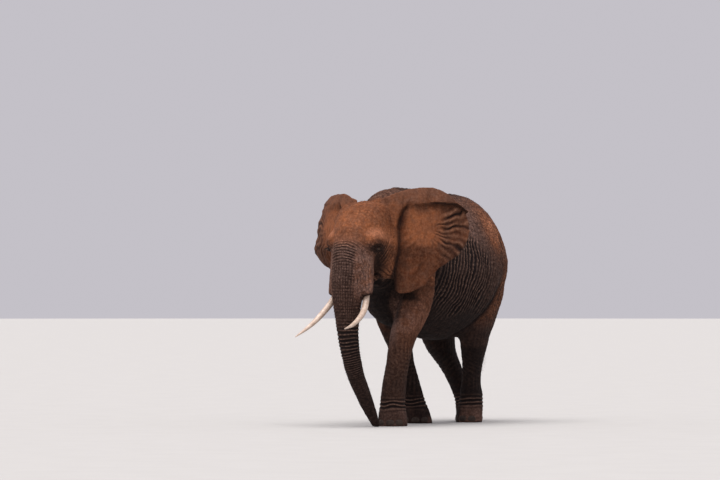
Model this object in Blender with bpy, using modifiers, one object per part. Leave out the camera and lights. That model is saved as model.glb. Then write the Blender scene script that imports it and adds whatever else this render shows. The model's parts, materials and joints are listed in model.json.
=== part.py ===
"""An adult African elephant cow, life size, walking with both left legs ahead.

Metres, +Z up. It faces -Y, and its own left side is +X. The flesh is modelled whole from lofted
masses, blended into one surface, then parted by thin cuts where a person would name its parts.
The tusks, eyes and toenails sit in pockets of their own shape.
"""
import math

import bmesh
import bpy
from mathutils import Matrix, Vector

NAME = "elephant"

# Lengths along Y are measured from the middle of the shoulders until the whole is centred.
GAP = 0.0003            # clearance between pieces that touch
FLOOR = 0.0             # level of the soles
BELOW_FLOOR = -0.05     # the lofted feet run on to here before the soles are cut flat

# How finely the flesh is blended and then thinned
BLEND_GRID = 0.022
BLEND_SMOOTHING = 6
FLESH_TRIANGLES = 3370

# Torso: station along Y, middle height, half width, reach up, reach down
TORSO = (
    (-0.40, 1.52, 0.12, 0.20, 0.14),
    (-0.34, 1.56, 0.26, 0.54, 0.32),
    (-0.20, 1.63, 0.43, 0.94, 0.54),
    (0.00, 1.68, 0.50, 0.92, 0.62),
    (0.22, 1.70, 0.53, 0.895, 0.69),
    (0.50, 1.70, 0.585, 0.845, 0.76),
    (0.80, 1.70, 0.62, 0.835, 0.78),
    (1.10, 1.70, 0.628, 0.855, 0.75),
    (1.38, 1.76, 0.582, 0.768, 0.69),
    (1.62, 1.82, 0.466, 0.60, 0.57),
    (1.78, 1.81, 0.315, 0.42, 0.38),
    (1.875, 1.79, 0.15, 0.20, 0.20),
)
NECK = (
    (-0.86, 2.02, 0.24, 0.34, 0.34),
    (-0.62, 2.00, 0.30, 0.36, 0.44),
    (-0.40, 1.97, 0.37, 0.59, 0.53),
    (-0.15, 1.90, 0.43, 0.69, 0.62),
)
JAW = (
    (-0.58, 1.80, 0.18, 0.12, 0.12),
    (-0.74, 1.67, 0.17, 0.13, 0.11),
    (-0.88, 1.55, 0.11, 0.11, 0.09),
    (-0.97, 1.45, 0.055, 0.07, 0.06),
    (-1.005, 1.40, 0.025, 0.03, 0.03),
)
SPINE_RIDGE = 0.20      # how much narrower a torso section is at its top than an ellipse

# Trunk and legs: height, middle X, middle Y, half width, reach forward, reach back
TRUNK = (
    (2.16, 0.00, -1.03, 0.17, 0.13, 0.13),
    (1.95, 0.00, -1.09, 0.205, 0.19, 0.15),
    (1.75, 0.00, -1.12, 0.210, 0.195, 0.16),
    (1.55, 0.00, -1.155, 0.195, 0.18, 0.16),
    (1.36, 0.00, -1.17, 0.165, 0.155, 0.15),
    (1.20, 0.00, -1.17, 0.140, 0.135, 0.13),
    (1.04, 0.00, -1.165, 0.122, 0.12, 0.12),
    (0.86, 0.01, -1.145, 0.112, 0.11, 0.11),
    (0.66, 0.03, -1.10, 0.104, 0.105, 0.105),
    (0.51, 0.055, -1.05, 0.098, 0.10, 0.10),
    (0.36, 0.08, -0.975, 0.090, 0.095, 0.095),
    (0.22, 0.10, -0.895, 0.078, 0.085, 0.085),
    (0.11, 0.115, -0.83, 0.064, 0.070, 0.066),
    (0.035, 0.130, -0.79, 0.052, 0.056, 0.050),
    (0.0, 0.135, -0.775, 0.044, 0.046, 0.042),
)
TRUNK_CUTS = (1.80, 1.36, 0.96, 0.56)   # levels that part its four lengths, from the top

FRONT_LEFT = (
    (1.80, 0.29, -0.02, 0.16, 0.24, 0.24),
    (1.52, 0.33, -0.13, 0.17, 0.26, 0.24),
    (1.30, 0.31, -0.24, 0.165, 0.22, 0.22),
    (1.15, 0.28, -0.32, 0.160, 0.20, 0.20),
    (1.00, 0.25, -0.37, 0.150, 0.17, 0.18),
    (0.86, 0.23, -0.41, 0.136, 0.145, 0.15),
    (0.69, 0.21, -0.44, 0.130, 0.135, 0.14),
    (0.50, 0.185, -0.465, 0.130, 0.140, 0.14),
    (0.30, 0.165, -0.47, 0.136, 0.142, 0.145),
    (0.14, 0.155, -0.46, 0.152, 0.158, 0.160),
    (0.03, 0.15, -0.45, 0.166, 0.172, 0.170),
)
FRONT_RIGHT = (
    (1.80, -0.29, 0.03, 0.16, 0.24, 0.24),
    (1.52, -0.33, 0.16, 0.17, 0.24, 0.26),
    (1.30, -0.31, 0.27, 0.165, 0.22, 0.22),
    (1.15, -0.30, 0.31, 0.160, 0.20, 0.20),
    (1.00, -0.265, 0.345, 0.150, 0.18, 0.17),
    (0.86, -0.23, 0.38, 0.136, 0.150, 0.145),
    (0.69, -0.21, 0.41, 0.130, 0.140, 0.135),
    (0.50, -0.185, 0.47, 0.130, 0.140, 0.140),
    (0.30, -0.17, 0.545, 0.136, 0.145, 0.142),
    (0.14, -0.155, 0.61, 0.152, 0.160, 0.158),
    (0.03, -0.15, 0.645, 0.166, 0.172, 0.170),
)
HIND_LEFT = (
    (1.80, 0.27, 1.34, 0.24, 0.32, 0.32),
    (1.48, 0.32, 1.27, 0.22, 0.34, 0.36),
    (1.22, 0.31, 1.22, 0.190, 0.27, 0.30),
    (1.00, 0.27, 1.20, 0.165, 0.21, 0.24),
    (0.80, 0.23, 1.24, 0.136, 0.155, 0.17),
    (0.62, 0.205, 1.262, 0.113, 0.128, 0.125),
    (0.45, 0.19, 1.262, 0.107, 0.120, 0.116),
    (0.28, 0.18, 1.28, 0.130, 0.135, 0.158),
    (0.14, 0.175, 1.262, 0.142, 0.150, 0.160),
    (0.03, 0.17, 1.25, 0.150, 0.162, 0.156),
)
HIND_RIGHT = (
    (1.80, -0.27, 1.42, 0.24, 0.32, 0.32),
    (1.48, -0.32, 1.37, 0.22, 0.34, 0.34),
    (1.22, -0.31, 1.29, 0.190, 0.30, 0.29),
    (1.00, -0.25, 1.23, 0.165, 0.24, 0.34),
    (0.80, -0.22, 1.30, 0.142, 0.190, 0.25),
    (0.62, -0.205, 1.49, 0.124, 0.150, 0.155),
    (0.45, -0.19, 1.65, 0.117, 0.132, 0.130),
    (0.28, -0.18, 1.79, 0.128, 0.138, 0.150),
    (0.14, -0.175, 1.86, 0.140, 0.150, 0.158),
    (0.03, -0.17, 1.885, 0.150, 0.160, 0.158),
)
TAIL = (
    (2.16, 0.00, 1.66, 0.09, 0.10, 0.09),
    (1.98, 0.00, 1.82, 0.062, 0.070, 0.065),
    (1.78, -0.005, 1.94, 0.044, 0.046, 0.044),
    (1.50, -0.02, 1.985, 0.034, 0.034, 0.034),
    (1.22, -0.04, 1.985, 0.030, 0.030, 0.030),
    (1.02, -0.06, 1.97, 0.029, 0.032, 0.032),
    (0.86, -0.075, 1.955, 0.030, 0.048, 0.048),
    (0.72, -0.09, 1.945, 0.030, 0.050, 0.050),
    (0.60, -0.10, 1.94, 0.024, 0.030, 0.030),
)

# Rounded masses of the head: middle, radii. Those away from the middle are mirrored.
CRANIUM = ((0.0, -0.79, 2.09), (0.335, 0.39, 0.355))
CROWN = ((0.125, -0.80, 2.18), (0.20, 0.27, 0.255))
FOREHEAD = ((0.0, -1.00, 2.03), (0.235, 0.24, 0.27))
BROW = ((0.235, -0.965, 1.99), (0.118, 0.160, 0.140))
TEMPLE = ((0.245, -0.80, 1.95), (0.10, 0.20, 0.20))
CHEEK = ((0.195, -0.76, 1.78), (0.125, 0.20, 0.19))
SHEATH = (
    (1.92, 0.15, -1.03, 0.11, 0.11, 0.10),
    (1.74, 0.165, -1.06, 0.095, 0.11, 0.10),
    (1.58, 0.180, -1.08, 0.088, 0.09, 0.085),
    (1.47, 0.192, -1.10, 0.078, 0.08, 0.075),
    (1.405, 0.194, -1.105, 0.064, 0.062, 0.062),
)


def interpolate(rows, steps):
    """The rows of a table with steps rows for each interval, on a smooth curve through them."""
    out = []
    last = len(rows) - 1
    for i in range(last):
        before = rows[max(i - 1, 0)]
        after = rows[min(i + 2, last)]
        for k in range(steps):
            t = k / steps
            row = []
            for p0, p1, p2, p3 in zip(before, rows[i], rows[i + 1], after):
                pull = (p2 - p0) / 2
                push = (p3 - p1) / 2
                row.append(
                    p1 + pull * t
                    + (3 * (p2 - p1) - 2 * pull - push) * t ** 2
                    + (2 * (p1 - p2) + pull + push) * t ** 3
                )
            out.append(tuple(row))
    out.append(rows[-1])
    return out


def collection(name):
    made = bpy.data.collections.new(name)
    bpy.context.scene.collection.children.link(made)
    return made


def material(name, colour, roughness):
    """A plain Principled material."""
    made = bpy.data.materials.new(name)
    made.use_nodes = True
    shader = made.node_tree.nodes["Principled BSDF"]
    shader.inputs["Base Color"].default_value = (*colour, 1.0)
    shader.inputs["Roughness"].default_value = roughness
    shader.inputs["Metallic"].default_value = 0.0
    return made


def mesh_object(bm, name, place):
    """A finished bmesh as an object in a collection."""
    bmesh.ops.recalc_face_normals(bm, faces=bm.faces)
    mesh = bpy.data.meshes.new(name)
    bm.to_mesh(mesh)
    bm.free()
    made = bpy.data.objects.new(name, mesh)
    place.objects.link(made)
    return made


def bridge(bm, rings):
    """Joins each ring of vertices to the next with faces and closes both ends."""
    count = len(rings[0])
    for lower, upper in zip(rings, rings[1:]):
        for i in range(count):
            j = (i + 1) % count
            bm.faces.new((lower[i], lower[j], upper[j], upper[i]))
    bm.faces.new(rings[0][::-1])
    bm.faces.new(rings[-1])


def loft_along_y(bm, table, ridge=0.0, sides=28, steps=4):
    """A body through upright sections: narrower towards the spine by ridge."""
    rings = []
    for y, middle, half_width, reach_up, reach_down in interpolate(table, steps):
        ring = []
        for i in range(sides):
            angle = math.tau * i / sides
            rise = math.sin(angle)
            narrow = 1 - ridge * max(rise, 0.0)
            reach = reach_up if rise > 0 else reach_down
            ring.append(bm.verts.new((half_width * math.cos(angle) * narrow, y, middle + reach * rise)))
        rings.append(ring)
    bridge(bm, rings)


def loft_along_z(bm, table, mirror=1, sides=24, steps=4, lowest=None):
    """A limb through level sections: each has its own reach forward (-Y) and back."""
    rows = interpolate(table, steps)
    if lowest is not None:
        rows.append((lowest, *rows[-1][1:]))
    rings = []
    for z, x, y, half_width, forward, back in rows:
        ring = []
        for i in range(sides):
            angle = math.tau * i / sides
            along = math.sin(angle)
            reach = back if along > 0 else forward
            ring.append(bm.verts.new((mirror * x + half_width * math.cos(angle), y + reach * along, z)))
        rings.append(ring)
    bridge(bm, rings)


def ellipsoid(bm, mass, mirror=1, segments=24):
    (x, y, z), radii = mass
    matrix = Matrix.Translation((mirror * x, y, z)) @ Matrix.Diagonal((*radii, 1.0))
    bmesh.ops.create_uvsphere(bm, u_segments=segments, v_segments=segments // 2, radius=1.0, matrix=matrix)


def apply_modifiers(made):
    """The object's mesh as its modifiers leave it."""
    graph = bpy.context.evaluated_depsgraph_get()
    mesh = bpy.data.meshes.new_from_object(made.evaluated_get(graph))
    made.modifiers.clear()
    old = made.data
    made.data = mesh
    bpy.data.meshes.remove(old)


def boolean(made, other, operation):
    """Applies a Boolean of another object to this one."""
    step = made.modifiers.new(operation.title(), "BOOLEAN")
    step.operation = operation
    step.solver = "EXACT"
    step.object = other
    apply_modifiers(made)


def grown_copy(made, name, amount, place):
    """A copy with every vertex moved out along its normal."""
    copy = bpy.data.objects.new(name, made.data.copy())
    place.objects.link(copy)
    bm = bmesh.new()
    bm.from_mesh(copy.data)
    bm.normal_update()
    for vertex in bm.verts:
        vertex.co += vertex.normal * amount * vertex.calc_shell_factor()
    bm.to_mesh(copy.data)
    bm.free()
    return copy


def hide_cutter(cutter):
    cutter.hide_render = True
    cutter.display_type = "WIRE"


# ---------------------------------------------------------------- the flesh, whole

def build_flesh(place, cutters):
    """All the soft masses, blended into one closed surface with flat soles."""
    bm = bmesh.new()
    loft_along_y(bm, TORSO, ridge=SPINE_RIDGE)
    loft_along_y(bm, NECK)
    loft_along_y(bm, JAW)
    ellipsoid(bm, CRANIUM)
    ellipsoid(bm, FOREHEAD)
    for side in (1, -1):
        for mass in (CROWN, BROW, TEMPLE, CHEEK):
            ellipsoid(bm, mass, mirror=side)
        loft_along_z(bm, SHEATH, mirror=side)
    loft_along_z(bm, TRUNK)
    for leg in (FRONT_LEFT, FRONT_RIGHT, HIND_LEFT, HIND_RIGHT):
        loft_along_z(bm, leg, lowest=BELOW_FLOOR)
    loft_along_z(bm, TAIL, sides=12)
    flesh = mesh_object(bm, "flesh", place)
    blend = flesh.modifiers.new("Blend", "REMESH")
    blend.mode = "VOXEL"
    blend.voxel_size = BLEND_GRID
    soften = flesh.modifiers.new("Soften", "SMOOTH")
    soften.factor = 0.5
    soften.iterations = BLEND_SMOOTHING
    apply_modifiers(flesh)
    thin = flesh.modifiers.new("Thin", "DECIMATE")
    thin.ratio = FLESH_TRIANGLES / (2 * len(flesh.data.polygons))
    apply_modifiers(flesh)
    under = Region((-1, -3, FLOOR - 1), (1, 3, FLOOR)).make("under_floor", 0.0, cutters)
    boolean(flesh, under, "DIFFERENCE")
    return flesh


# ---------------------------------------------------------------- parting the flesh

class Region:
    """A box that one piece of the flesh is taken from: it may be turned about X at a pivot, and its
    top may rise away from the middle of the body."""

    def __init__(self, low, high, pivot=(0, 0, 0), turn=0, rise=0):
        self.low = Vector(low)
        self.high = Vector(high)
        self.pivot = Vector(pivot)
        self.turn = turn
        self.rise = rise

    def make(self, name, margin, place):
        """The box as a cutter, larger by margin on every side."""
        low = self.low - Vector((margin,) * 3)
        high = self.high + Vector((margin,) * 3)
        size = high - low
        middle = (low + high) / 2
        bm = bmesh.new()
        box = Matrix.Translation(middle) @ Matrix.Diagonal((*size, 1.0))
        bmesh.ops.create_cube(bm, size=1.0, matrix=box)
        for corner in bm.verts:
            if corner.co.z > middle.z:
                corner.co.z += abs(corner.co.x) * math.tan(math.radians(self.rise))
        turn = Matrix.Translation(self.pivot) @ Matrix.Rotation(math.radians(self.turn), 4, "X")
        bm.transform(turn)
        cutter = mesh_object(bm, name, place)
        hide_cutter(cutter)
        return cutter


def leg_region(side, front, back, top_inside):
    """From the floor up to a plane that rises outwards from the armpit or groin."""
    left, right = sorted((-side * FOOT_INSIDE, side * 1.0))
    return Region((left, front, BELOW_FLOOR), (right, back, top_inside), rise=LEG_CUT_RISE)


def trunk_region(number, half_width, rear):
    """One length of the trunk, between two level cuts."""
    bottom = TRUNK_CUTS[number + 1] if number < 3 else -0.2
    return Region((-half_width, -1.8, bottom), (half_width, rear, TRUNK_CUTS[number]))


LEG_CUT_RISE = 24
FOOT_INSIDE = 0.04      # how far a foot may reach past the middle of the body
NECK_LEAN = -15
NECK_PLACE = (0.0, -0.33, 2.0)

REGIONS = {
    "trunk_4": trunk_region(3, 0.40, -0.66),
    "trunk_3": trunk_region(2, 0.40, -0.85),
    "trunk_2": trunk_region(1, 0.40, -1.01),
    "trunk_1": trunk_region(0, 0.145, -1.03),
    "tail": Region((-0.3, 1.906, 0.45), (0.3, 2.3, 2.1)),
    "leg_front_left": leg_region(1, -0.68, -0.06, 1.00),
    "leg_front_right": leg_region(-1, -0.16, 0.92, 0.90),
    "leg_hind_left": leg_region(1, 0.93, 1.62, 0.90),
    "leg_hind_right": leg_region(-1, 0.93, 2.30, 0.90),
    "lower_jaw": Region((-0.3, -0.235, -0.25), (0.3, 0.16, 0.0), pivot=(0, -0.80, 1.62), turn=34),
    "head": Region((-1, -2, -1.9), (1, -0.27, 1), pivot=NECK_PLACE, turn=NECK_LEAN),
    "neck": Region((-1, -0.27, -1.9), (1, 0, 1), pivot=NECK_PLACE, turn=NECK_LEAN),
}


def part_flesh(flesh, parts, cutters):
    """Takes each region out of the flesh with a thin cut. What is left is the torso."""
    made = {}
    for name, region in REGIONS.items():
        piece = bpy.data.objects.new(name, flesh.data.copy())
        parts.objects.link(piece)
        inner = region.make(f"region_{name}", 0.0, cutters)
        outer = region.make(f"clear_{name}", GAP, cutters)
        boolean(piece, inner, "INTERSECT")
        boolean(flesh, outer, "DIFFERENCE")
        made[name] = piece
    flesh.name = "torso"
    made["torso"] = flesh
    return made


# ---------------------------------------------------------------- ears

EAR_ROOT = (0.325, -0.70)       # where the ear leaves the side of the head, seen from above
EAR_TURN = {1: (32, 55), -1: (25, 48)}  # left, right: how far it points back, at its root and its rim
EAR_DROOP = {1: 0, -1: 12}              # how far it is turned down about its root
EAR_TUCK = {1: (0.0, 0.0), -1: (0.05, 0.36)}    # how far its upper and lower rims are laid back
EAR_WIDTH = 0.80
EAR_BEND = 0.15                 # inward of its root the sheet turns square to the body within this
EAR_HUB = (0.25, 2.05)          # out from the root and above the floor: its reaches start here
EAR_REACH = (                   # degrees above straight out, and how far the rim lies that way
    (0, 0.580), (15, 0.615), (25, 0.640), (40, 0.585), (55, 0.585), (70, 0.575),
    (90, 0.540), (105, 0.535), (180, 0.330),
    (210, 0.380), (228, 0.520), (238, 0.610), (250, 0.645), (262, 0.610), (275, 0.535),
    (290, 0.450), (305, 0.405), (320, 0.430), (337, 0.490), (350, 0.550), (360, 0.580),
)
EAR_CORNER = {                  # the same for the inner upper corner of each ear
    1: ((120, 0.545), (137, 0.605), (147, 0.500), (160, 0.360)),
    -1: ((120, 0.560), (133, 0.580), (146, 0.627), (155, 0.500), (165, 0.370)),
}
EAR_THICK = 0.020
EAR_SPOKES = 40
EAR_RINGS = 4
EAR_CUP = 0.035                 # how far the middle lies behind the rim
EAR_ROLL = 0.050                # how far the upper rim rolls back
EAR_FLUTES = 7                  # waves along the outer rim
EAR_FLUTE = 0.010


def ear_reach(degrees, side):
    """The rim's distance from the hub in one direction."""
    degrees %= 360
    rows = sorted(EAR_REACH + EAR_CORNER[side])
    for (a, low), (b, high) in zip(rows, rows[1:]):
        if a <= degrees <= b:
            t = (degrees - a) / (b - a)
            return low + (high - low) * t * t * (3 - 2 * t)
    return EAR_REACH[0][1]


def ear_plan(out, side):
    """Where the ear's sheet is, seen from above, this far out from its root, and its front normal."""
    at_root, at_rim = EAR_TURN[side]

    def turn(distance):
        if distance < 0:
            return math.radians(at_root * max(1 + distance / EAR_BEND, 0.0))
        return math.radians(at_root + (at_rim - at_root) * distance / EAR_WIDTH)

    steps = 12
    x, y = EAR_ROOT
    for k in range(steps):
        x += math.cos(turn((k + 0.5) / steps * out)) * out / steps
        y += math.sin(turn((k + 0.5) / steps * out)) * out / steps
    return x, y, Vector((math.sin(turn(out)), -math.cos(turn(out)), 0.0))


def ear_point(degrees, share, side):
    """A point of the ear's sheet: a direction from the hub and a share of the reach there."""
    angle = math.radians(degrees)
    reach = ear_reach(degrees, side) * share
    flat = Vector((EAR_HUB[0] + reach * math.cos(angle), reach * math.sin(angle)))
    flat.rotate(Matrix.Rotation(-math.radians(EAR_DROOP[side]), 2))
    height = EAR_HUB[1] + flat.y
    x, y, front = ear_plan(flat.x, side)
    outer = max(math.cos(angle), 0.0)
    upper = max(math.sin(angle), 0.0)
    lift = EAR_CUP * (share ** 2 - 1) * (0.4 + 0.6 * outer)
    lift += EAR_FLUTE * share ** 2 * outer * math.sin(EAR_FLUTES * math.tau * degrees / 180)
    lift -= EAR_ROLL * upper * max(share - 0.7, 0.0) / 0.3
    tuck_up, tuck_down = EAR_TUCK[side]
    lift -= share ** 2 * (tuck_up * upper + tuck_down * max(-math.sin(angle), 0.0))
    return Vector((x, y, height)) + front * lift


def build_ear(name, side, flesh_clear, place):
    bm = bmesh.new()
    hub = bm.verts.new(ear_point(0, 0, side))
    rings = []
    for r in range(1, EAR_RINGS + 1):
        share = (r / EAR_RINGS) ** 0.8
        spokes = (360 * i / EAR_SPOKES for i in range(EAR_SPOKES))
        rings.append([bm.verts.new(ear_point(degrees, share, side)) for degrees in spokes])
    for i in range(EAR_SPOKES):
        j = (i + 1) % EAR_SPOKES
        bm.faces.new((hub, rings[0][i], rings[0][j]))
        for inner, outer in zip(rings, rings[1:]):
            bm.faces.new((inner[i], outer[i], outer[j], inner[j]))
    if side < 0:
        bmesh.ops.scale(bm, vec=(-1, 1, 1), verts=bm.verts)
    ear = mesh_object(bm, name, place)
    shell = ear.modifiers.new("Shell", "SOLIDIFY")
    shell.thickness = EAR_THICK
    shell.offset = 0.0
    apply_modifiers(ear)
    boolean(ear, flesh_clear, "DIFFERENCE")
    return ear


# ---------------------------------------------------------------- tusks, eyes and toenails

TUSK_RADII = (0.038, 0.040, 0.039, 0.036, 0.030, 0.021, 0.008)
TUSK_LEFT = (
    (0.183, -1.06, 1.53), (0.188, -1.085, 1.42), (0.205, -1.14, 1.31), (0.230, -1.25, 1.220),
    (0.253, -1.41, 1.145), (0.275, -1.575, 1.095), (0.297, -1.745, 1.068),
)
TUSK_RIGHT = (
    (-0.183, -1.06, 1.53), (-0.190, -1.09, 1.435), (-0.207, -1.165, 1.34), (-0.232, -1.31, 1.225),
    (-0.256, -1.45, 1.13), (-0.281, -1.60, 1.05), (-0.306, -1.755, 0.98),
)
TUSK_SIDES = 12

EYE_LEVEL = (-1.035, 1.925)     # along Y and above the floor
EYE_RADIUS = 0.021
EYE_SUNK = 0.012                # how far the middle of the eye lies inside the skin

NAIL = (0.042, 0.015, 0.031)    # half width, half depth, half height
NAIL_LEVEL = 0.042
FRONT_NAILS = (-57, -20, 20, 57)        # degrees round from straight ahead
HIND_NAILS = (-40, 0, 40)


def build_tusk(name, points, place):
    """A tapering tube along a smooth curve through the points."""
    rows = interpolate([(*p, r) for p, r in zip(points, TUSK_RADII)], 2)
    curve = bpy.data.curves.new(name, "CURVE")
    curve.dimensions = "3D"
    curve.bevel_depth = 1.0
    curve.bevel_resolution = (TUSK_SIDES - 4) // 2
    curve.use_fill_caps = True
    spline = curve.splines.new("POLY")
    spline.points.add(len(rows) - 1)
    for point, (x, y, z, radius) in zip(spline.points, rows):
        point.co = (x, y, z, 1.0)
        point.radius = radius
    guide = bpy.data.objects.new(f"{name}_curve", curve)
    place.objects.link(guide)
    graph = bpy.context.evaluated_depsgraph_get()
    mesh = bpy.data.meshes.new_from_object(guide.evaluated_get(graph))
    bpy.data.objects.remove(guide)
    bm = bmesh.new()
    bm.from_mesh(mesh)
    bpy.data.meshes.remove(mesh)
    bmesh.ops.remove_doubles(bm, verts=bm.verts, dist=0.00001)
    return mesh_object(bm, name, place)


def build_eye(name, side, flesh, place):
    """A ball sunk in the skin, where a level line from the side meets it."""
    y, z = EYE_LEVEL
    _, where, _, _ = flesh.ray_cast((side, y, z), (-side, 0, 0))
    centre = where - Vector((side * EYE_SUNK, 0, 0))
    bm = bmesh.new()
    ball = Matrix.Translation(centre)
    bmesh.ops.create_uvsphere(bm, u_segments=10, v_segments=6, radius=EYE_RADIUS, matrix=ball)
    return mesh_object(bm, name, place)


def build_nails(leg, table, degrees, flesh, place):
    """A foot's toenails, each a flattened ball where a level line from the foot's middle leaves it."""
    _, foot_x, foot_y, *_ = table[-1]
    made = []
    for number, angle in enumerate(degrees, start=1):
        turn = math.radians(angle)
        outward = Vector((math.sin(turn), -math.cos(turn), 0.0))
        _, where, _, _ = flesh.ray_cast((foot_x, foot_y, NAIL_LEVEL), outward)
        matrix = Matrix.Translation(where - outward * NAIL[1] * 0.45)
        matrix @= Matrix.Rotation(turn, 4, "Z") @ Matrix.Diagonal((*NAIL, 1.0))
        bm = bmesh.new()
        bmesh.ops.create_uvsphere(bm, u_segments=7, v_segments=4, radius=1.0, matrix=matrix)
        made.append(mesh_object(bm, f"nail_{leg}_{number}", place))
    return made


# ---------------------------------------------------------------- the whole animal

SKIN = ((0.16, 0.085, 0.055), 0.85)
IVORY = ((0.78, 0.68, 0.55), 0.35)
EYEBALL = ((0.030, 0.015, 0.008), 0.12)
HORN = ((0.26, 0.19, 0.14), 0.6)


def pocket(pieces, inset, cutters):
    """Cuts room for an inset piece out of the flesh round it."""
    cutter = grown_copy(inset, f"pocket_{inset.name}", GAP, cutters)
    hide_cutter(cutter)
    for piece in pieces:
        boolean(piece, cutter, "DIFFERENCE")


def finish(made, looks, root):
    """Gives a piece its material, smooth shading, its own middle as origin, and its parent."""
    mesh = made.data
    mesh.materials.clear()
    mesh.materials.append(looks)
    mesh.shade_smooth()
    mesh.set_sharp_from_angle(angle=math.radians(50))
    corners = [Vector(corner) for corner in made.bound_box]
    middle = sum(corners, Vector()) / len(corners)
    mesh.transform(Matrix.Translation(-middle))
    made.location = middle
    made.parent = root


def main():
    for old in list(bpy.data.objects):
        bpy.data.objects.remove(old)
    parts = collection(NAME)
    cutters = collection(f"{NAME}_cutters")
    flesh = build_flesh(parts, cutters)
    clear = grown_copy(flesh, "clear_flesh", GAP, cutters)
    hide_cutter(clear)

    ears = [build_ear("ear_left", 1, clear, parts), build_ear("ear_right", -1, clear, parts)]
    eyes = [build_eye("eye_left", 1, flesh, parts), build_eye("eye_right", -1, flesh, parts)]
    tusks = [build_tusk("tusk_left", TUSK_LEFT, parts), build_tusk("tusk_right", TUSK_RIGHT, parts)]
    feet = (
        ("front_left", FRONT_LEFT, FRONT_NAILS),
        ("front_right", FRONT_RIGHT, FRONT_NAILS),
        ("hind_left", HIND_LEFT, HIND_NAILS),
        ("hind_right", HIND_RIGHT, HIND_NAILS),
    )
    nails = {leg: build_nails(leg, table, degrees, flesh, parts) for leg, table, degrees in feet}

    pieces = part_flesh(flesh, parts, cutters)
    for inset in eyes:
        pocket([pieces["head"]], inset, cutters)
    for inset in tusks:
        pocket([pieces["head"], pieces["trunk_1"]], inset, cutters)
    for leg, made in nails.items():
        for inset in made:
            pocket([pieces[f"leg_{leg}"]], inset, cutters)

    root = bpy.data.objects.new(f"{NAME}_frame", None)
    parts.objects.link(root)
    skin = material("skin", *SKIN)
    for piece in [*pieces.values(), *ears]:
        finish(piece, skin, root)
    for group, looks in (
        (tusks, material("ivory", *IVORY)),
        (eyes, material("eyeball", *EYEBALL)),
        (sum(nails.values(), []), material("horn", *HORN)),
    ):
        for piece in group:
            finish(piece, looks, root)

    # The middle of the whole is put over the origin
    bpy.context.view_layer.update()
    every = [child for child in root.children if child.type == "MESH"]
    corners = [child.matrix_world @ Vector(corner) for child in every for corner in child.bound_box]
    middle_x = (min(c.x for c in corners) + max(c.x for c in corners)) / 2
    middle_y = (min(c.y for c in corners) + max(c.y for c in corners)) / 2
    root.location = (-middle_x, -middle_y, 0.0)
    bpy.context.view_layer.update()
    print("middle over the origin:", round(middle_x, 5), round(middle_y, 5))


main()
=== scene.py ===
# %% [markdown]
# # A life-size elephant
# The animal's solids are already built and packed: this lesson dresses them. One skin goes over all the
# flesh, with its folds and wrinkles, and then come the eyes, tusks, toenails and the few stiff hairs.
# Everything is in metres, +Z is up, and the elephant faces -Y with its own left side at +X.

import itertools
import json
import math

import bmesh
import bpy
import numpy as np
from mathutils import Matrix, Vector
from mathutils.bvhtree import BVHTree


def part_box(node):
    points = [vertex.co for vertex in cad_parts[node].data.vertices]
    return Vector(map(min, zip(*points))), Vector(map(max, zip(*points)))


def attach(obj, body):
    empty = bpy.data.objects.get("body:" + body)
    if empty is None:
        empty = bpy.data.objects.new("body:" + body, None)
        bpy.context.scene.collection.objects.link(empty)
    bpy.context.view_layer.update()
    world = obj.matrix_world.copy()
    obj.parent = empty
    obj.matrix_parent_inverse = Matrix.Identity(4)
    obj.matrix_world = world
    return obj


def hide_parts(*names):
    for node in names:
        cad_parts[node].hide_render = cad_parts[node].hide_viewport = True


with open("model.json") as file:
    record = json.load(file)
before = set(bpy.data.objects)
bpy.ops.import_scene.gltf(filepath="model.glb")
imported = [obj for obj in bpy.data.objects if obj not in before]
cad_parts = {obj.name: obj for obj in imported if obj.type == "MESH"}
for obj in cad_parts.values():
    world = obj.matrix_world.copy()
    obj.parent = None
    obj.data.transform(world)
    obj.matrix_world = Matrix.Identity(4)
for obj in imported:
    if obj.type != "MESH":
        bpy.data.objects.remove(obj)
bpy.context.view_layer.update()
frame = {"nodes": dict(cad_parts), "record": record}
BODY = "root"
SHOULDERS = np.array((0.0326, -0.1420, 0.0))    # on the floor between the shoulders: places start here
SIDES = {"left": 1, "right": -1}                # the way each side lies along X
UP = np.array((0.0, 0.0, 1.0))
print("solids:", len(frame["nodes"]))

# %% [markdown]
# ## Where we look from
# A long lens far away keeps the legs, head and rump in true proportion. The camera stands about as
# high as the animal's chin, a third of a turn round from the front, so most of the height is seen level.

# %% Camera
VIEW_TURN = math.radians(30)
VIEW_RISE = math.radians(-0.57)
VIEW_DISTANCE = 50.0
VIEW_TARGET = Vector((-0.357, -0.367, 2.03))
LENS = 227.5            # millimetres
back = Vector((
    math.sin(VIEW_TURN) * math.cos(VIEW_RISE),
    -math.cos(VIEW_TURN) * math.cos(VIEW_RISE),
    math.sin(VIEW_RISE),
))
camera = bpy.data.objects.new("camera", bpy.data.cameras.new("camera"))
camera.data.sensor_width = 36.0
camera.data.lens = LENS
camera.data.clip_end = 20 * VIEW_DISTANCE
camera.location = VIEW_TARGET + back * VIEW_DISTANCE
camera.rotation_euler = back.to_track_quat("Z", "Y").to_euler()
bpy.context.scene.collection.objects.link(camera)
bpy.context.scene.camera = camera
print("camera height:", round(camera.location.z, 3))

# %% [markdown]
# ## Finishes as sums
# A material is a net of nodes, which is slow to read. This small class lets a pattern be written as
# arithmetic: adding or multiplying two patterns adds the Math node for it.

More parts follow.
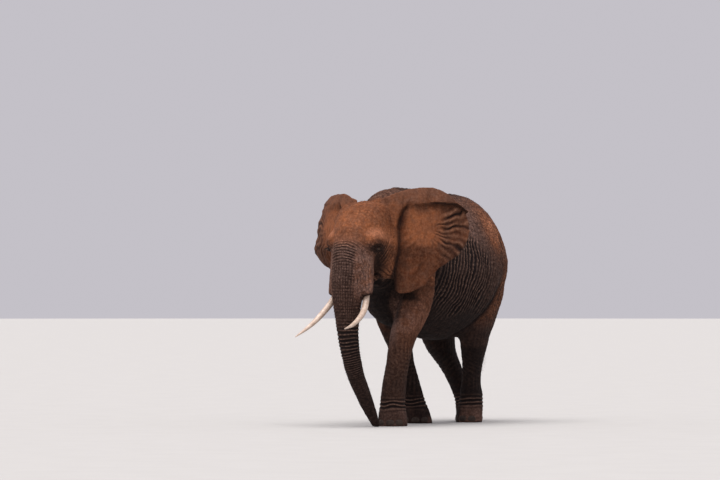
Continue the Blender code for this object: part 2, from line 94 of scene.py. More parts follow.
# %% Shader arithmetic
class Pattern:
    """A number or colour that varies over a surface."""

    def __init__(self, finish, socket):
        self.finish = finish
        self.socket = socket

    def sum_of(self, operation, *values):
        return self.finish.node("ShaderNodeMath", {"operation": operation}, dict(enumerate(values)))

    def __add__(self, other):
        return self.sum_of("ADD", self, other)

    def __mul__(self, other):
        return self.sum_of("MULTIPLY", self, other)

    def __sub__(self, other):
        return self.sum_of("SUBTRACT", self, other)

    def __rsub__(self, other):
        return self.sum_of("SUBTRACT", other, self)

    def __pow__(self, other):
        return self.sum_of("POWER", self, other)

    def at_most(self, other):
        return self.sum_of("MINIMUM", self, other)

    def at_least(self, other):
        return self.sum_of("MAXIMUM", self, other)

    __radd__ = __add__
    __rmul__ = __mul__

    def between(self, low, high):
        """0 up to low, 1 from high, and a soft step between."""
        return self.finish.node(
            "ShaderNodeMapRange", {"interpolation_type": "SMOOTHSTEP"},
            {"Value": self, "From Min": low, "From Max": high},
        )


class Finish:
    """A material, and the ways to add a node to it."""

    def __init__(self, name):
        self.material = bpy.data.materials.new(name)
        self.material.use_nodes = True
        self.tree = self.material.node_tree
        self.shader = self.tree.nodes["Principled BSDF"]
        self.place = self.node("ShaderNodeTexCoord", {}, {}, out="Object")

    def node(self, kind, settings, sockets, out=0):
        made = self.tree.nodes.new(kind)
        for key, value in settings.items():
            setattr(made, key, value)
        for key, value in sockets.items():
            self.feed(made.inputs[key], value)
        return Pattern(self, made.outputs[out])

    def feed(self, socket, value):
        if isinstance(value, Pattern):
            self.tree.links.new(value.socket, socket)
        else:
            socket.default_value = value

    def set(self, **values):
        for key, value in values.items():
            self.feed(self.shader.inputs[key.replace("_", " ")], value)

    def mix(self, share, first, second, how="MIX"):
        """Two colours mixed: share 0 is the first."""
        first, second = ((*c, 1.0) if isinstance(c, tuple) else c for c in (first, second))
        return self.node(
            "ShaderNodeMix", {"data_type": "RGBA", "blend_type": how, "clamp_factor": True},
            {0: share, 6: first, 7: second}, out=2,
        )

    def attribute(self, name):
        return self.node("ShaderNodeAttribute", {"attribute_name": name}, {}, out="Fac")

    def stretched(self, scale, turn=(0.0, 0.0, 0.0)):
        """The place on the object, turned and stretched."""
        return self.node("ShaderNodeMapping", {}, {"Vector": self.place, "Scale": scale, "Rotation": turn})

    def noise(self, size, detail=3.0, rough=0.55, warp=0.0, place=None):
        """Cloudy variation about size metres across, from 0 to 1."""
        return self.node("ShaderNodeTexNoise", {}, {
            "Vector": place or self.place, "Scale": 1 / size, "Detail": detail,
            "Roughness": rough, "Distortion": warp,
        })

    def cracks(self, size, place=None, uneven=1.0):
        """A net of lines about size metres apart: 0 on a line, 1 well inside a cell."""
        return self.node("ShaderNodeTexVoronoi", {"feature": "DISTANCE_TO_EDGE"}, {
            "Vector": place or self.place, "Scale": 1 / size, "Randomness": uneven,
        })

    def layers(self, colour, *coats):
        """A colour with coats laid over it in turn, each a share and a colour."""
        for share, coat in coats:
            colour = self.mix(share, colour, coat)
        return colour

    def bump(self, height, depth, strength=1.0):
        """Relief for the Normal socket, from a height of 0 to 1 that stands for depth metres."""
        return self.node("ShaderNodeBump", {}, {"Height": height, "Distance": depth, "Strength": strength})


# %% [markdown]
# ## Floor and light
# A museum would stand it on a plain pale floor under a soft ceiling light. One wide lamp overhead
# gives the bright forehead and back of an overcast day, and a faint one in front opens the shadows.
# The dark belly is mostly painted shade in the hide's colour.

# %% Floor
FLOOR_RADIUS = 160.0


def object_from(bm, name):
    mesh = bpy.data.meshes.new(name)
    bm.to_mesh(mesh)
    bm.free()
    made = bpy.data.objects.new(name, mesh)
    bpy.context.scene.collection.objects.link(made)
    return made


disc = bmesh.new()
bmesh.ops.create_circle(disc, cap_ends=True, segments=64, radius=FLOOR_RADIUS)
floor = object_from(disc, "floor")
studio = Finish("studio_floor")
speckle = studio.noise(0.5, detail=2.0)
studio.set(Base_Color=studio.mix(speckle, (0.43, 0.415, 0.40), (0.47, 0.455, 0.44)), Roughness=0.9)
floor.data.materials.append(studio.material)

# %% Lights
def sky(name, place, strength, spread_degrees, colour):
    """A very wide sun: as soft as an overcast sky, and as bright far off as it is close by."""
    light = bpy.data.lights.new(name, "SUN")
    light.energy = strength
    light.angle = math.radians(spread_degrees)
    light.color = colour
    made = bpy.data.objects.new(name, light)
    made.rotation_euler = Vector(place).to_track_quat("Z", "Y").to_euler()
    bpy.context.scene.collection.objects.link(made)


sky("ceiling", (0.02, -0.25, 1.0), 3.65, 55.0, (1.0, 0.985, 0.97))
sky("front_fill", (-0.15, -1.0, 0.55), 0.45, 90.0, (0.97, 0.97, 1.0))
world = bpy.data.worlds.new("studio")
world.use_nodes = True
air = world.node_tree.nodes["Background"].inputs
air["Color"].default_value = (0.86, 0.83, 0.90, 1.0)
air["Strength"].default_value = 0.64
bpy.context.scene.world = world
bpy.context.scene.view_settings.view_transform = "Standard"

# %% [markdown]
# ## One skin
# The solids are parted by cuts a hair wide. Each is copied and grown until the copies overlap, and a
# voxel remesh then wraps them all in one closed surface of small even faces, which can be sculpted.
# The flesh of the closed lips is added first, between the root of the trunk and the lower jaw.

# %% Wrap the solids
FLESH = [
    "torso", "neck", "head", "lower_jaw", "trunk_1", "trunk_2", "trunk_3", "trunk_4", "tail",
    "leg_front_left", "leg_front_right", "leg_hind_left", "leg_hind_right", "ear_left", "ear_right",
]
OVERLAP = 0.0006        # how far each copy grows to reach its neighbours
WELD = 0.00004          # points closer than this are one
SKIN_GRID = 0.0095      # side of the remesh's cubes
LIPS_MIDDLE = (0.0326, -1.092, 1.63)
LIPS_HALF = (0.135, 0.095, 0.115)


def merged(name):
    """A bmesh copy of a solid with its loose triangles joined."""
    copy = bmesh.new()
    copy.from_mesh(frame["nodes"][name].data)
    bmesh.ops.remove_doubles(copy, verts=copy.verts, dist=WELD)
    copy.normal_update()
    return copy


def finished(made, finish, slot, *nodes):
    """A finished piece: its material, the body it moves with and the solids it stands for."""
    made.data.materials.clear()
    made.data.materials.append(finish.material)
    made.data.shade_smooth()
    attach(made, BODY)
    if nodes:
        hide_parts(*nodes)
    return made


def apply_modifiers(made):
    """The object's mesh as its modifiers leave it."""
    graph = bpy.context.evaluated_depsgraph_get()
    mesh = bpy.data.meshes.new_from_object(made.evaluated_get(graph))
    made.modifiers.clear()
    old = made.data
    made.data = mesh
    bpy.data.meshes.remove(old)


whole = bmesh.new()
for name in FLESH:
    copy = merged(name)
    for vertex in copy.verts:
        vertex.co += vertex.normal * OVERLAP
    holder = bpy.data.meshes.new("holder")
    copy.to_mesh(holder)
    copy.free()
    whole.from_mesh(holder)
    bpy.data.meshes.remove(holder)
lips_place = Matrix.Translation(LIPS_MIDDLE) @ Matrix.Diagonal((*LIPS_HALF, 1.0))
bmesh.ops.create_icosphere(whole, subdivisions=4, radius=1.0, matrix=lips_place)
skin = object_from(whole, "skin")
wrap = skin.modifiers.new("Wrap", "REMESH")
wrap.mode = "VOXEL"
wrap.voxel_size = SKIN_GRID
apply_modifiers(skin)
print("wrapped skin:", len(skin.data.vertices), "vertices")

# %% [markdown]
# ## Softening
# The solids have flat facets the size of a hand. Moving each vertex towards its neighbours many times
# melts them, but it also shrinks thin parts, so the loss is measured and given back, and the ears, tail,
# feet and the tip of the trunk are softened less.

# %% Helpers on arrays of vertices
def read(items, field, width=3, kind=float):
    """One field of every vertex, edge or face, as rows of numbers."""
    out = np.empty(len(items) * width, kind)
    items.foreach_get(field, out)
    return out.reshape(-1, width)


def points_of(mesh):
    return read(mesh.vertices, "co")


def move_to(mesh, points):
    mesh.vertices.foreach_set("co", points.ravel())
    mesh.update()


def most(*values):
    """The greatest of several values at each vertex."""
    return np.maximum.reduce(np.broadcast_arrays(*values))


def spread(values, edges, times, share=0.5):
    """Each vertex's values mixed with the mean of its neighbours' so many times."""
    here = np.concatenate([edges[:, 0], edges[:, 1]])
    there = np.concatenate([edges[:, 1], edges[:, 0]])
    count = len(values)
    neighbours = np.maximum(np.bincount(here, minlength=count), 1)[:, None]
    out = values.reshape(count, -1).astype(float)
    for _ in range(times):
        mean = np.stack([np.bincount(here, column[there], count) for column in out.T], 1) / neighbours
        out = out + (mean - out) * share
    return out.reshape(values.shape)


def step(value, low, high):
    """0 up to low, 1 from high, soft between. low may be the larger."""
    t = np.clip((value - low) / (high - low), 0, 1)
    return t * t * (3 - 2 * t)


def bell(value, middle, width):
    """1 at the middle, falling to about a third at width from it."""
    return np.exp(-((value - middle) / width) ** 2)


def unit(rows):
    """Each row made one long."""
    return rows / np.linalg.norm(rows, axis=-1, keepdims=True)


def scrambled(cell, seed):
    """A large whole number for each cell of a grid, which looks random and is always the same."""
    key = (cell[:, 0] * 73856093) ^ (cell[:, 1] * 19349663) ^ (cell[:, 2] * 83492791) ^ (seed * 2654435761)
    return (key ^ (key >> 13)) * 1274126177 & 0x7FFFFFFF


def cloud(points, size, seed=0):
    """Smooth random values from -1 to 1 that change over about size metres."""
    grid = points / size
    cell = np.floor(grid).astype(np.int64)
    share = grid - cell
    share = share * share * (3 - 2 * share)
    total = np.zeros(len(points))
    for corner in itertools.product((0, 1), repeat=3):
        key = scrambled(cell + corner, seed)
        weight = np.prod(np.where(corner, share, 1 - share), axis=1)
        total += weight * ((key ^ (key >> 16)) % 65536) / 32767.5
    return total - 1


def clouds(points, size, first_seed):
    """Three clouds side by side, to wander by along X, Y and Z."""
    return np.stack([cloud(points, size, first_seed + k) for k in range(3)], 1)


# %% Which solid each vertex belongs to
def solid_tree():
    """One search tree over all the flesh, and the solid that each of its faces came from."""
    corners, faces, owner = [], [], []
    for number, name in enumerate(FLESH):
        mesh = frame["nodes"][name].data
        start = len(corners)
        corners += [v.co.copy() for v in mesh.vertices]
        faces += [[start + i for i in face.vertices] for face in mesh.polygons]
        owner += [number] * len(mesh.polygons)
    return BVHTree.FromPolygons(corners, faces), np.array(owner)


def owners(points):
    """The number in FLESH of the nearest solid to each point."""
    return OWNER[[TREE.find_nearest(p)[2] for p in points.tolist()]]


TREE, OWNER = solid_tree()


class Regions:
    """For every vertex of the skin: its place from the shoulders, its solid, and soft masks."""

    def __init__(self, mesh):
        self.edges = read(mesh.edges, "vertices", 2, np.int32)
        self.at = points_of(mesh) - SHOULDERS
        self.normal = read(mesh.vertex_normals, "vector")
        self.owner = owners(points_of(mesh))
        self.x, self.y, self.z = self.at.T
        self.side = np.abs(self.x)
        self.faces_x, self.faces_y, self.faces_up = self.normal.T

    def mask(self, start, blur=4):
        """1 on the solids whose names start so, 0 elsewhere, blurred at the border."""
        wanted = [i for i, name in enumerate(FLESH) if name.startswith(start)]
        return spread(np.isin(self.owner, wanted).astype(float), self.edges, blur)

    def zone(self, **limits):
        """A soft box. For each axis named: 0 up to the first limit and 1 from the second, and with
        four limits 1 up to the third and 0 again from the fourth."""
        inside = 1.0
        for axis, (low, full, *end) in limits.items():
            value = getattr(self, axis)
            inside = inside * step(value, low, full)
            if end:
                inside = inside * step(value, end[1], end[0])
        return inside

    def spot(self, y, z, size_y, size_z):
        """A soft patch on both sides of the body."""
        return bell(np.hypot((self.y - y) / size_y, (self.z - z) / size_z), 0, 1)


# %% Melt the facets
regions = Regions(skin.data)
ROUNDS = 60
ears = regions.mask("ear", 8)
thin = most(
    ears * 0.70,
    regions.mask("tail", 6) * 0.9,
    regions.mask("trunk") * step(regions.z, 0.9, 0.0) * 0.75,
    step(regions.z, 0.12, 0.04) * 0.8,
)
before = regions.at
softness = (0.5 * (1 - thin) ** 2 + 0.02)[:, None]
after = spread(before, regions.edges, ROUNDS, softness)
lost = ((before - after) * regions.normal).sum(1)
after += regions.normal * spread(lost, regions.edges, ROUNDS)[:, None] * (1 - ears)[:, None]
move_to(skin.data, after + SHOULDERS)
print("most a vertex moved:", round(float(np.linalg.norm(after - before, axis=1).max()), 4))

# %% [markdown]
# ## Room for small folds
# The even grid is too coarse for the trunk's rings, the creases at the ears' roots and the eyelids, so
# those faces are divided: once over them all, and once more round each eye.

# %% Divide the faces that carry the finest folds
EYES = {side: sum(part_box(f"eye_{side}"), Vector()) / 2 for side in SIDES}
EYE_ROOM = 0.11


def divide(mesh, wanted):
    """Cuts every wanted face in four."""
    bm = bmesh.new()
    bm.from_mesh(mesh)
    bm.faces.ensure_lookup_table()
    edges = {edge for i in np.flatnonzero(wanted) for edge in bm.faces[i].edges}
    bmesh.ops.subdivide_edges(bm, edges=list(edges), cuts=1, use_grid_fill=True, smooth=0.0)
    bm.to_mesh(mesh)
    bm.free()


def middles_of_faces():
    """The middle of every face of the skin, and how far it is from the nearer eye."""
    middles = read(skin.data.polygons, "center")
    return middles, np.minimum.reduce([np.linalg.norm(middles - np.array(e), axis=1) for e in EYES.values()])


middles, near_eye = middles_of_faces()
x, y, z = (middles - SHOULDERS).T
on_trunk = (y < -0.60) & (z < 1.5 + 0.3 * (y < -1.08)) & (np.abs(x) < 0.24)
ear_root = (np.hypot(np.abs(x) - 0.33, y + 0.69) < 0.11) & (z > 1.45) & (z < 2.42)
divide(skin.data, on_trunk | ear_root | (near_eye < EYE_ROOM))
middles, near_eye = middles_of_faces()
divide(skin.data, near_eye < EYE_ROOM * 0.6)
print("divided skin:", len(skin.data.vertices), "vertices")

# %% [markdown]
# ## How a place on the body is named
# Folds follow the body, not the room. On the trunk they follow its bent middle line, on an ear they
# fan out from a point near its root, and round an eye they run in rings.

# %% Places along the trunk
TRUNK_LINE = np.array((     # height, X, Y of the middle of the trunk
    (0.00, 0.135, -0.775), (0.11, 0.115, -0.83), (0.22, 0.10, -0.895), (0.36, 0.08, -0.975),
    (0.51, 0.055, -1.05), (0.66, 0.03, -1.10), (0.86, 0.01, -1.145), (1.04, 0.0, -1.165),
    (1.36, 0.0, -1.17), (1.75, 0.0, -1.12), (2.20, 0.0, -1.05),
))
TRUNK_LEVEL = TRUNK_LINE[:, 0]
TRUNK_LENGTH = np.concatenate([[0], np.cumsum(np.linalg.norm(np.diff(TRUNK_LINE, axis=0), axis=1))])


def trunk_middle(level):
    return np.stack([np.interp(level, TRUNK_LEVEL, TRUNK_LINE[:, i]) for i in (1, 2)] + [level], 1)


def along_trunk(at):
    """For each place: length along the trunk from its tip, angle round it from the front, level."""
    level = at[:, 2].copy()
    for _ in range(4):
        middle = trunk_middle(level)
        axis = unit(trunk_middle(level + 0.04) - middle)
        level += ((at - middle) * axis).sum(1) * axis[:, 2]
        level = np.clip(level, -0.05, 2.3)
    off = at - middle
    length = np.interp(level, TRUNK_LEVEL, TRUNK_LENGTH)
    return length, np.arctan2(off[:, 0], -off[:, 1]), level


# %% Places on an ear
EAR_ROOT_AT = (0.325, -0.70)            # how far to the side, and Y
EAR_LEAN = {1: (32, 55), -1: (25, 48)}  # degrees the ear is turned back, at its root and at its rim
SEAM = (                                # the crease between head and ear: heights, and how far out
    (1.44, 1.50, 1.68, 1.81, 1.90, 2.16, 2.25, 2.34, 2.42),
    (0.03, -0.005, -0.010, 0.017, 0.040, 0.036, 0.053, 0.087, 0.15),
)


def over_ear(at, side):
    """For each place: how far out from the ear's root, and the direction that the ear's face points."""
    out = np.hypot(at[:, 0] * side - EAR_ROOT_AT[0], at[:, 1] - EAR_ROOT_AT[1])
    lean = np.radians(np.interp(out, (0, 0.8), EAR_LEAN[side]))
    return out, np.stack([side * np.sin(lean), -np.cos(lean), 0 * lean], 1)


def beside_root(r, side):
    """How far outwards of an ear's root line, seen from the front quarter, and how far from it in all."""
    out, back_by = r.x * side - EAR_ROOT_AT[0], r.y - EAR_ROOT_AT[1]
    return out * math.cos(VIEW_TURN) + back_by * math.sin(VIEW_TURN), np.hypot(out, back_by)


# %% [markdown]
# ## The folds
# Each kind of fold is a function that says how far every vertex moves along its normal. A groove is
# narrow and the ridge beside it is broad, as on real hide, so most moves go inwards.

# %% Grooves
def grooves(turns, narrow=2.5):
    """1 in the middle of a groove and 0 between grooves, with one groove for each whole turn."""
    return ((1 + np.cos(math.tau * turns)) / 2) ** narrow


def net(points, size, seed=0, narrow=0.16):
    """A net of creases about size apart: 1 on a crease, 0 inside a cell."""
    grid = points / size
    cell = np.floor(grid).astype(np.int64)
    first = np.full(len(points), 9.0)
    second = first.copy()
    for corner in itertools.product((-1, 0, 1), repeat=3):
        at = cell + corner
        key = scrambled(at, seed)
        inside = np.stack([((key >> shift) % 1024) / 1023 for shift in (0, 7, 14)], 1)
        far = np.linalg.norm(at + inside - grid, axis=1)
        second = np.minimum(second, np.maximum(first, far))
        first = np.minimum(first, far)
    return 1 - step(second - first, 0.0, narrow * 2)


def pick(choices):
    """Of several sets of grooves, the deepest at each vertex: its turns and its depth."""
    turns = np.stack([turn for turn, _ in choices])
    depths = np.stack([depth for _, depth in choices])
    best = depths.argmax(0)[None]
    return np.take_along_axis(turns, best, 0)[0], np.take_along_axis(depths, best, 0)[0]


# %% Rings of the trunk
RING_SPACING = (        # levels on the trunk, and metres from ring to ring
    (0.0, 0.65, 0.80, 0.92, 1.03, 1.15, 1.75, 1.95),
    (0.021, 0.023, 0.030, 0.038, 0.044, 0.034, 0.031, 0.032),
)
RING_DEPTH = (
    (0.0, 0.45, 0.55, 0.64, 0.80, 1.05, 1.14, 1.35, 1.70, 1.80, 1.95, 2.05),
    (0.0014, 0.0020, 0.0030, 0.0062, 0.0085, 0.0095, 0.0052, 0.0042, 0.0045, 0.0082, 0.0088, 0.0),
)
HATCH_SPACING, HATCH_DEPTH = 0.027, 0.0042
TRUNK_RADIUS = 0.155


def trunk_grooves(r):
    """Rings down the trunk, boldest at its root and below the tusks, and the upright lines that
    cross them in front."""
    length, bearing, level = along_trunk(r.at)
    root = r.zone(z=(1.70, 1.78, 1.98, 2.06), side=(0.165, 0.125), y=(-0.98, -1.10))
    on = np.maximum(r.mask("trunk", 6), root)
    lengths = np.linspace(0, TRUNK_LENGTH[-1], 200)
    spacing = np.interp(np.interp(lengths, TRUNK_LENGTH, TRUNK_LEVEL), *RING_SPACING)
    turns = np.interp(length, lengths, np.cumsum((lengths[1] - lengths[0]) / spacing))
    turns += 34 * r.x ** 2 * step(level, 1.5, 1.8)
    turns += (0.26 + 0.25 * bell(level, 1.66, 0.08)) * cloud(r.at, 0.16, 1)
    turns += (0.14 + 0.14 * step(level, 1.7, 1.8)) * cloud(r.at, 0.05, 2)
    fainter_behind = 1 - 0.55 * step(np.abs(bearing), 1.9, 2.6)
    rings = on * np.interp(level, *RING_DEPTH) * fainter_behind * (0.78 + 0.30 * cloud(r.at, 0.07, 3))
    front = step(np.abs(bearing), 2.0, 1.3)
    upright = bearing * TRUNK_RADIUS / HATCH_SPACING + 0.40 * cloud(r.at, 0.10, 4)
    hatch = on * HATCH_DEPTH * front * step(level, 0.98, 1.25) * step(level, 1.84, 1.72)
    return (turns, rings), (upright, hatch)


# %% Creases of the body and legs
FORELEG_REAR = {        # heights, and Y of the foreleg's rear edge, left and right
    1: ((0.95, 1.2, 1.5, 1.75), (-0.13, -0.10, -0.09, 0.0)),
    -1: ((0.95, 1.2, 1.5, 1.75), (0.52, 0.52, 0.44, 0.36)),
}
THIGH_FRONT = {         # the same for the thigh's front edge
    1: ((0.95, 1.11, 1.29, 1.42, 1.75), (0.80, 0.95, 1.09, 1.17, 1.24)),
    -1: ((0.95, 1.11, 1.29, 1.42, 1.75), (0.86, 0.97, 1.09, 1.18, 1.26)),
}


def behind(r, edge):
    """How far behind an edge of the left or right limb, at any height."""
    return r.y - np.where(r.x > 0, np.interp(r.z, *edge[1]), np.interp(r.z, *edge[-1]))


def flank_grooves(r):
    """Steep creases on the front of the flank, fainter level ones across them, and neck folds."""
    torso, neck = r.mask("torso", 6), r.mask("neck", 6)
    x, y, z = (r.at + 0.034 * clouds(r.at, 0.18, 11) + 0.008 * clouds(r.at, 0.05, 15)).T
    _, ragged_y, ragged_z = (r.at + 0.16 * clouds(r.at, 0.22, 71)).T
    flank = r.zone(side=(0.24, 0.40)) * step(ragged_z, 0.98, 1.40) * step(ragged_z, 2.40, 1.80)
    flank *= step(ragged_y, 1.35, 0.50) * step(behind(r, FORELEG_REAR), 0.0, 0.06)
    patchy = 0.80 + 0.5 * cloud(r.at, 0.14, 14)
    rear = r.zone(y=(1.10, 1.30), side=(0.16, 0.30), z=(0.85, 1.05, 2.10, 2.30))
    return pick([
        ((y * 0.94 - z * 0.34) / 0.050, torso * flank * 0.0115 * patchy),
        ((y - 0.15 * z) / 0.062, neck * 0.0035),
        ((y * 0.87 - np.abs(x) * 0.50) / 0.046, (torso + r.mask("leg", 6)) * rear * 0.0064 * patchy),
    ]), ((z * 0.97 + y * 0.22) / 0.055, torso * (0.0020 + 0.0026 * flank) * patchy)


def leg_grooves(r):
    """Level creases above the feet, slanting ones at the knees and long ones up the limbs."""
    legs = r.mask("leg", 6)
    x, y, z = (r.at + 0.020 * clouds(r.at, 0.12, 21)).T
    ankle = z / 0.042 + 2.0 * (r.x * 0.6) ** 2
    slant = (z * 0.8 + np.where(r.x > 0, 1, -1) * x * 0.7) / 0.040
    knee = np.where(r.y < 0.9, bell(r.z, 0.66, 0.15), bell(r.z, 0.62, 0.16))
    broken = 0.65 + 0.6 * cloud(r.at, 0.11, 24)
    main = pick([(ankle, legs * 0.0105 * bell(r.z, 0.235, 0.065)), (slant, legs * 0.0048 * knee * broken)])
    return main, ((y + x * 0.6) / 0.052, legs * 0.0030 * step(r.z, 0.30, 0.45) * broken)


# %% Creases of the head, and the net over all the hide
def head_grooves(r):
    """Slanting lines behind the eye and under the jaw, and fine ones down the tusk sheaths."""
    head = np.maximum(r.mask("head", 5), r.mask("lower_jaw", 5))
    x, y, z = (r.at + 0.018 * clouds(r.at, 0.10, 31)).T
    behind_eye = r.spot(-0.88, 1.88, 0.10, 0.20) * step(r.side, 0.22, 0.28)
    jaw = r.zone(z=(1.80, 1.66), y=(-1.06, -0.98))
    sheath = r.zone(z=(1.86, 1.72), y=(-1.0, -1.04), side=(0.12, 0.16))
    return pick([
        ((y * 0.9 - z * 0.5) / 0.036, head * 0.0065 * behind_eye),
        ((z + y * 0.5) / 0.045, head * 0.0075 * jaw),
        (x / 0.027 + 9 * y, head * 0.0032 * sheath * (0.8 + 0.5 * cloud(r.at, 0.08, 34))),
    ])


def round_cheek(r, size):
    return r.spot(-0.90, 1.74, 0.9 * size, 1.5 * size) * step(r.side, 0.12, 0.18)


def net_creases(r):
    """The net of fine creases that covers all the hide, coarser on the body."""
    warped = r.at + 0.020 * clouds(r.at, 0.12, 61)
    coarse = net(warped * (1, 1, 0.8), 0.080, 1)
    fine = net(warped, 0.042, 2)
    body = r.mask("torso", 6)
    return np.maximum(coarse * body * 0.75, fine * (0.45 + 0.55 * round_cheek(r, 0.13)) * (1 - 0.5 * body))


# %% The folds of the ears
EAR_ROLL = (            # how far out along an ear, and the height where its upper rim rolls over
    (0.05, 0.20, 0.43, 0.55, 0.68, 0.785, 0.83, 0.88),
    (2.24, 2.40, 2.42, 2.415, 2.409, 2.348, 2.295, 2.16),
)
FAN_MIDDLE = (0.33, 2.13)   # where the fan of ribs starts: how far out, and its height
FAN_STEP = 12.5             # degrees from rib to rib
FAN_RELIEF, SEAM_DEPTH = 0.019, 0.040


def ear_shape(r, side):
    """How far an ear's sheet moves along the way it faces and outwards, the grooves of its fan, and
    the painted shade under its rolled rim, along the crease at its root and under the jaw."""
    on = r.mask("ear_left" if side > 0 else "ear_right", 5)
    out, _ = over_ear(r.at, side)
    above = r.z - np.interp(out, *EAR_ROLL)
    rolled = (0.35 * step(out, 0.10, 0.30) + 0.65 * step(out, 0.34, 0.46)) * (1.0 if side > 0 else 0.12)
    lift = 0.046 * step(above, -0.008, 0.014) * (1 - 0.7 * np.clip(above / 0.17, 0, 1)) * rolled
    lift -= 0.030 * np.exp(np.minimum(above, 0) / 0.05) * (above < 0) * rolled

    fan_out, fan_up = out - FAN_MIDDLE[0], r.z - FAN_MIDDLE[1]
    fan = np.degrees(np.arctan2(fan_up, fan_out))
    reach = np.hypot(fan_out, fan_up)
    turns = fan / FAN_STEP + 0.80 * cloud(r.at, 0.16, 5) + 0.30 * cloud(r.at, 0.06, 9) + 0.3
    each = cloud(np.stack([turns, 0 * turns, 0 * turns], 1), 1.0, 19)
    start = 0.10 + 0.06 * cloud(r.at, 0.12, 10) + 0.07 * each
    window = step(fan, 48, 34) * step(fan, -78, -40) * step(reach, start, start + 0.16)
    window *= step(above, 0.0, -0.03)
    window *= np.clip(0.70 + 0.45 * cloud(r.at, 0.10, 6) + 0.35 * each, 0, 1.3) * (1.0 if side > 0 else 0.6)
    lift -= FAN_RELIEF * window * (grooves(turns, 1.0) - 0.35)
    low = step(fan, -45, -75) * step(reach, 0.12, 0.30)
    lift += 0.010 * low * np.sin(np.radians(fan) * 16 + 3.5 * cloud(r.at, 0.16, 7))
    lift += 0.010 * cloud(r.at, 0.14, 8) * step(out, 0.15, 0.4)
    lift *= step(out, 0.02, 0.12) * on

    across, near = beside_root(r, side)
    off = across - 0.005 * cloud(r.at, 0.07, 18) - np.interp(r.z, *SEAM)
    here = step(near, 0.30, 0.20) * step(r.z, 1.44, 1.50) * step(r.z, 2.45, 2.36)
    front = here * np.maximum(step(r.faces_y, 0.15, -0.15), on)
    under_jaw = step(off, 0.005, -0.015) * step(r.z, 1.76, 1.66) * here * on
    furrow = np.where(off > 0, bell(off, 0, 0.060), bell(off, 0, 0.022))
    lift -= SEAM_DEPTH * furrow * front + 0.020 * under_jaw
    lift += 0.014 * bell(off, -0.052, 0.032) * front * step(r.z, 1.66, 1.80) * (1 - on)
    slide = 0.95 * np.maximum(-off, 0) * step(r.z, 1.78, 1.68) * on * (near < 0.4)

    # Painted shade along the crease at the ear's root and under the rolled rim; under_jaw also darkens the
    # ear between cheek and lobe.
    crease = np.where(off > 0, bell(off, 0.008, 0.020), bell(off, 0, 0.016))
    crease = np.maximum(crease, 0.55 * bell(off, 0, 0.085) * (off > 0)) * here * step(r.faces_y, 0.6, 0.3)
    shadow = np.exp(np.minimum(above, 0) / 0.035) * (above < 0.012) * rolled * on
    depth = 0.0085 * np.clip(window, 0, 1) * on
    return (lift, slide), (turns, depth), most(shadow, crease, under_jaw)


# %% Broad hollows and swellings
def broad_shape(r):
    """The deep folds where the legs join, the bones under the hide and the hollows of the head, and the
    painted shade in those folds and hollows.
    """
    torso, head = r.mask("torso", 6), r.mask("head", 6)
    across = behind(r, FORELEG_REAR)
    low_flank = r.zone(z=(1.95, 1.68), side=(0.15, 0.28))
    armpit = bell(across, 0.02, 0.05) * low_flank
    groin = bell(behind(r, THIGH_FRONT), 0.0, 0.055) * r.zone(z=(1.70, 1.35), side=(0.12, 0.26))
    behind_arm = step(across, 0.0, 0.05) * step(across, 0.30, 0.10) * r.zone(z=(1.9, 1.6), side=(0.2, 0.3))
    arm = bell(across, -0.10, 0.07) * r.zone(z=(0.9, 1.2, 1.6, 1.9))
    ribs = bell(r.z, 1.65, 0.30) * r.zone(y=(0.35, 0.55, 0.95, 1.15))
    ribs *= np.sin(r.y * math.tau / 0.15 + r.z * 4)
    hip_bone = r.spot(1.34, 2.16, 0.13, 0.10) * step(r.side, 0.22, 0.34)
    spine = bell(r.side, 0, 0.035) * step(r.z, 2.1, 2.3) * (0.6 + 0.4 * np.sin(r.y * math.tau / 0.09))
    temple = r.spot(-0.80, 2.10, 0.09, 0.108) * step(r.side, 0.2, 0.26)
    cheek = round_cheek(r, 0.11)
    out = 0.020 * arm + 0.0035 * torso * ribs + 0.020 * hip_bone + 0.008 * spine
    out -= 0.048 * armpit + 0.036 * groin + 0.020 * behind_arm + head * 0.014 * (cheek + temple)
    # Painted shade in the armpit and groin, on the low flank behind the foreleg and in the cheek hollow.
    flank_shade = step(across, -0.015, 0.03) * step(across, 0.42, 0.10) * low_flank
    return out, most(armpit, 0.85 * flank_shade * torso, groin, 0.9 * cheek * head)


# %% Press the folds into the skin
class Hide:
    """All the folds of the skin, worked out for a mesh as it stands."""

    def __init__(self, mesh):
        r = Regions(mesh)
        self.r = r
        self.ears = r.mask("ear", 5)
        rings, hatch = trunk_grooves(r)
        steep, level = flank_grooves(r)
        slant, upright = leg_grooves(r)
        self.main = pick([rings, steep, slant, head_grooves(r)])
        self.cross = pick([hatch, level, upright])
        self.broad, self.hollow = broad_shape(r)
        self.net = net_creases(r)
        self.lifts = {side: ear_shape(r, side) for side in (1, -1)}
        low_trunk = r.mask("trunk") * r.zone(z=(0.54, 0.64, 1.02, 1.14))
        ankles = r.mask("leg") * bell(r.z, 0.235, 0.07)
        self.ridged = most(
            step(steep[1], 0.001, 0.011) * r.mask("torso", 3), 0.9 * low_trunk, 0.7 * ankles)

    def depth(self):
        """How far each vertex moves along its normal."""
        out = self.broad - 0.0034 * self.net * (1 - 0.6 * self.ridged)
        turns, deepest = self.main
        narrow, wide = grooves(turns, 1.5), 1 - grooves(turns + 0.5, 1.5)
        out -= deepest * (narrow * (1 - self.ridged) + self.ridged * wide)
        out -= self.cross[1] * grooves(self.cross[0], 1.8)
        out *= 1 - self.ears
        lumps = 0.0016 * cloud(self.r.at, 0.035, 41) + 0.0022 * cloud(self.r.at, 0.09, 42)
        out += lumps * (1 - 0.5 * self.ears)
        return out * step(self.r.z, 0.0, 0.03)


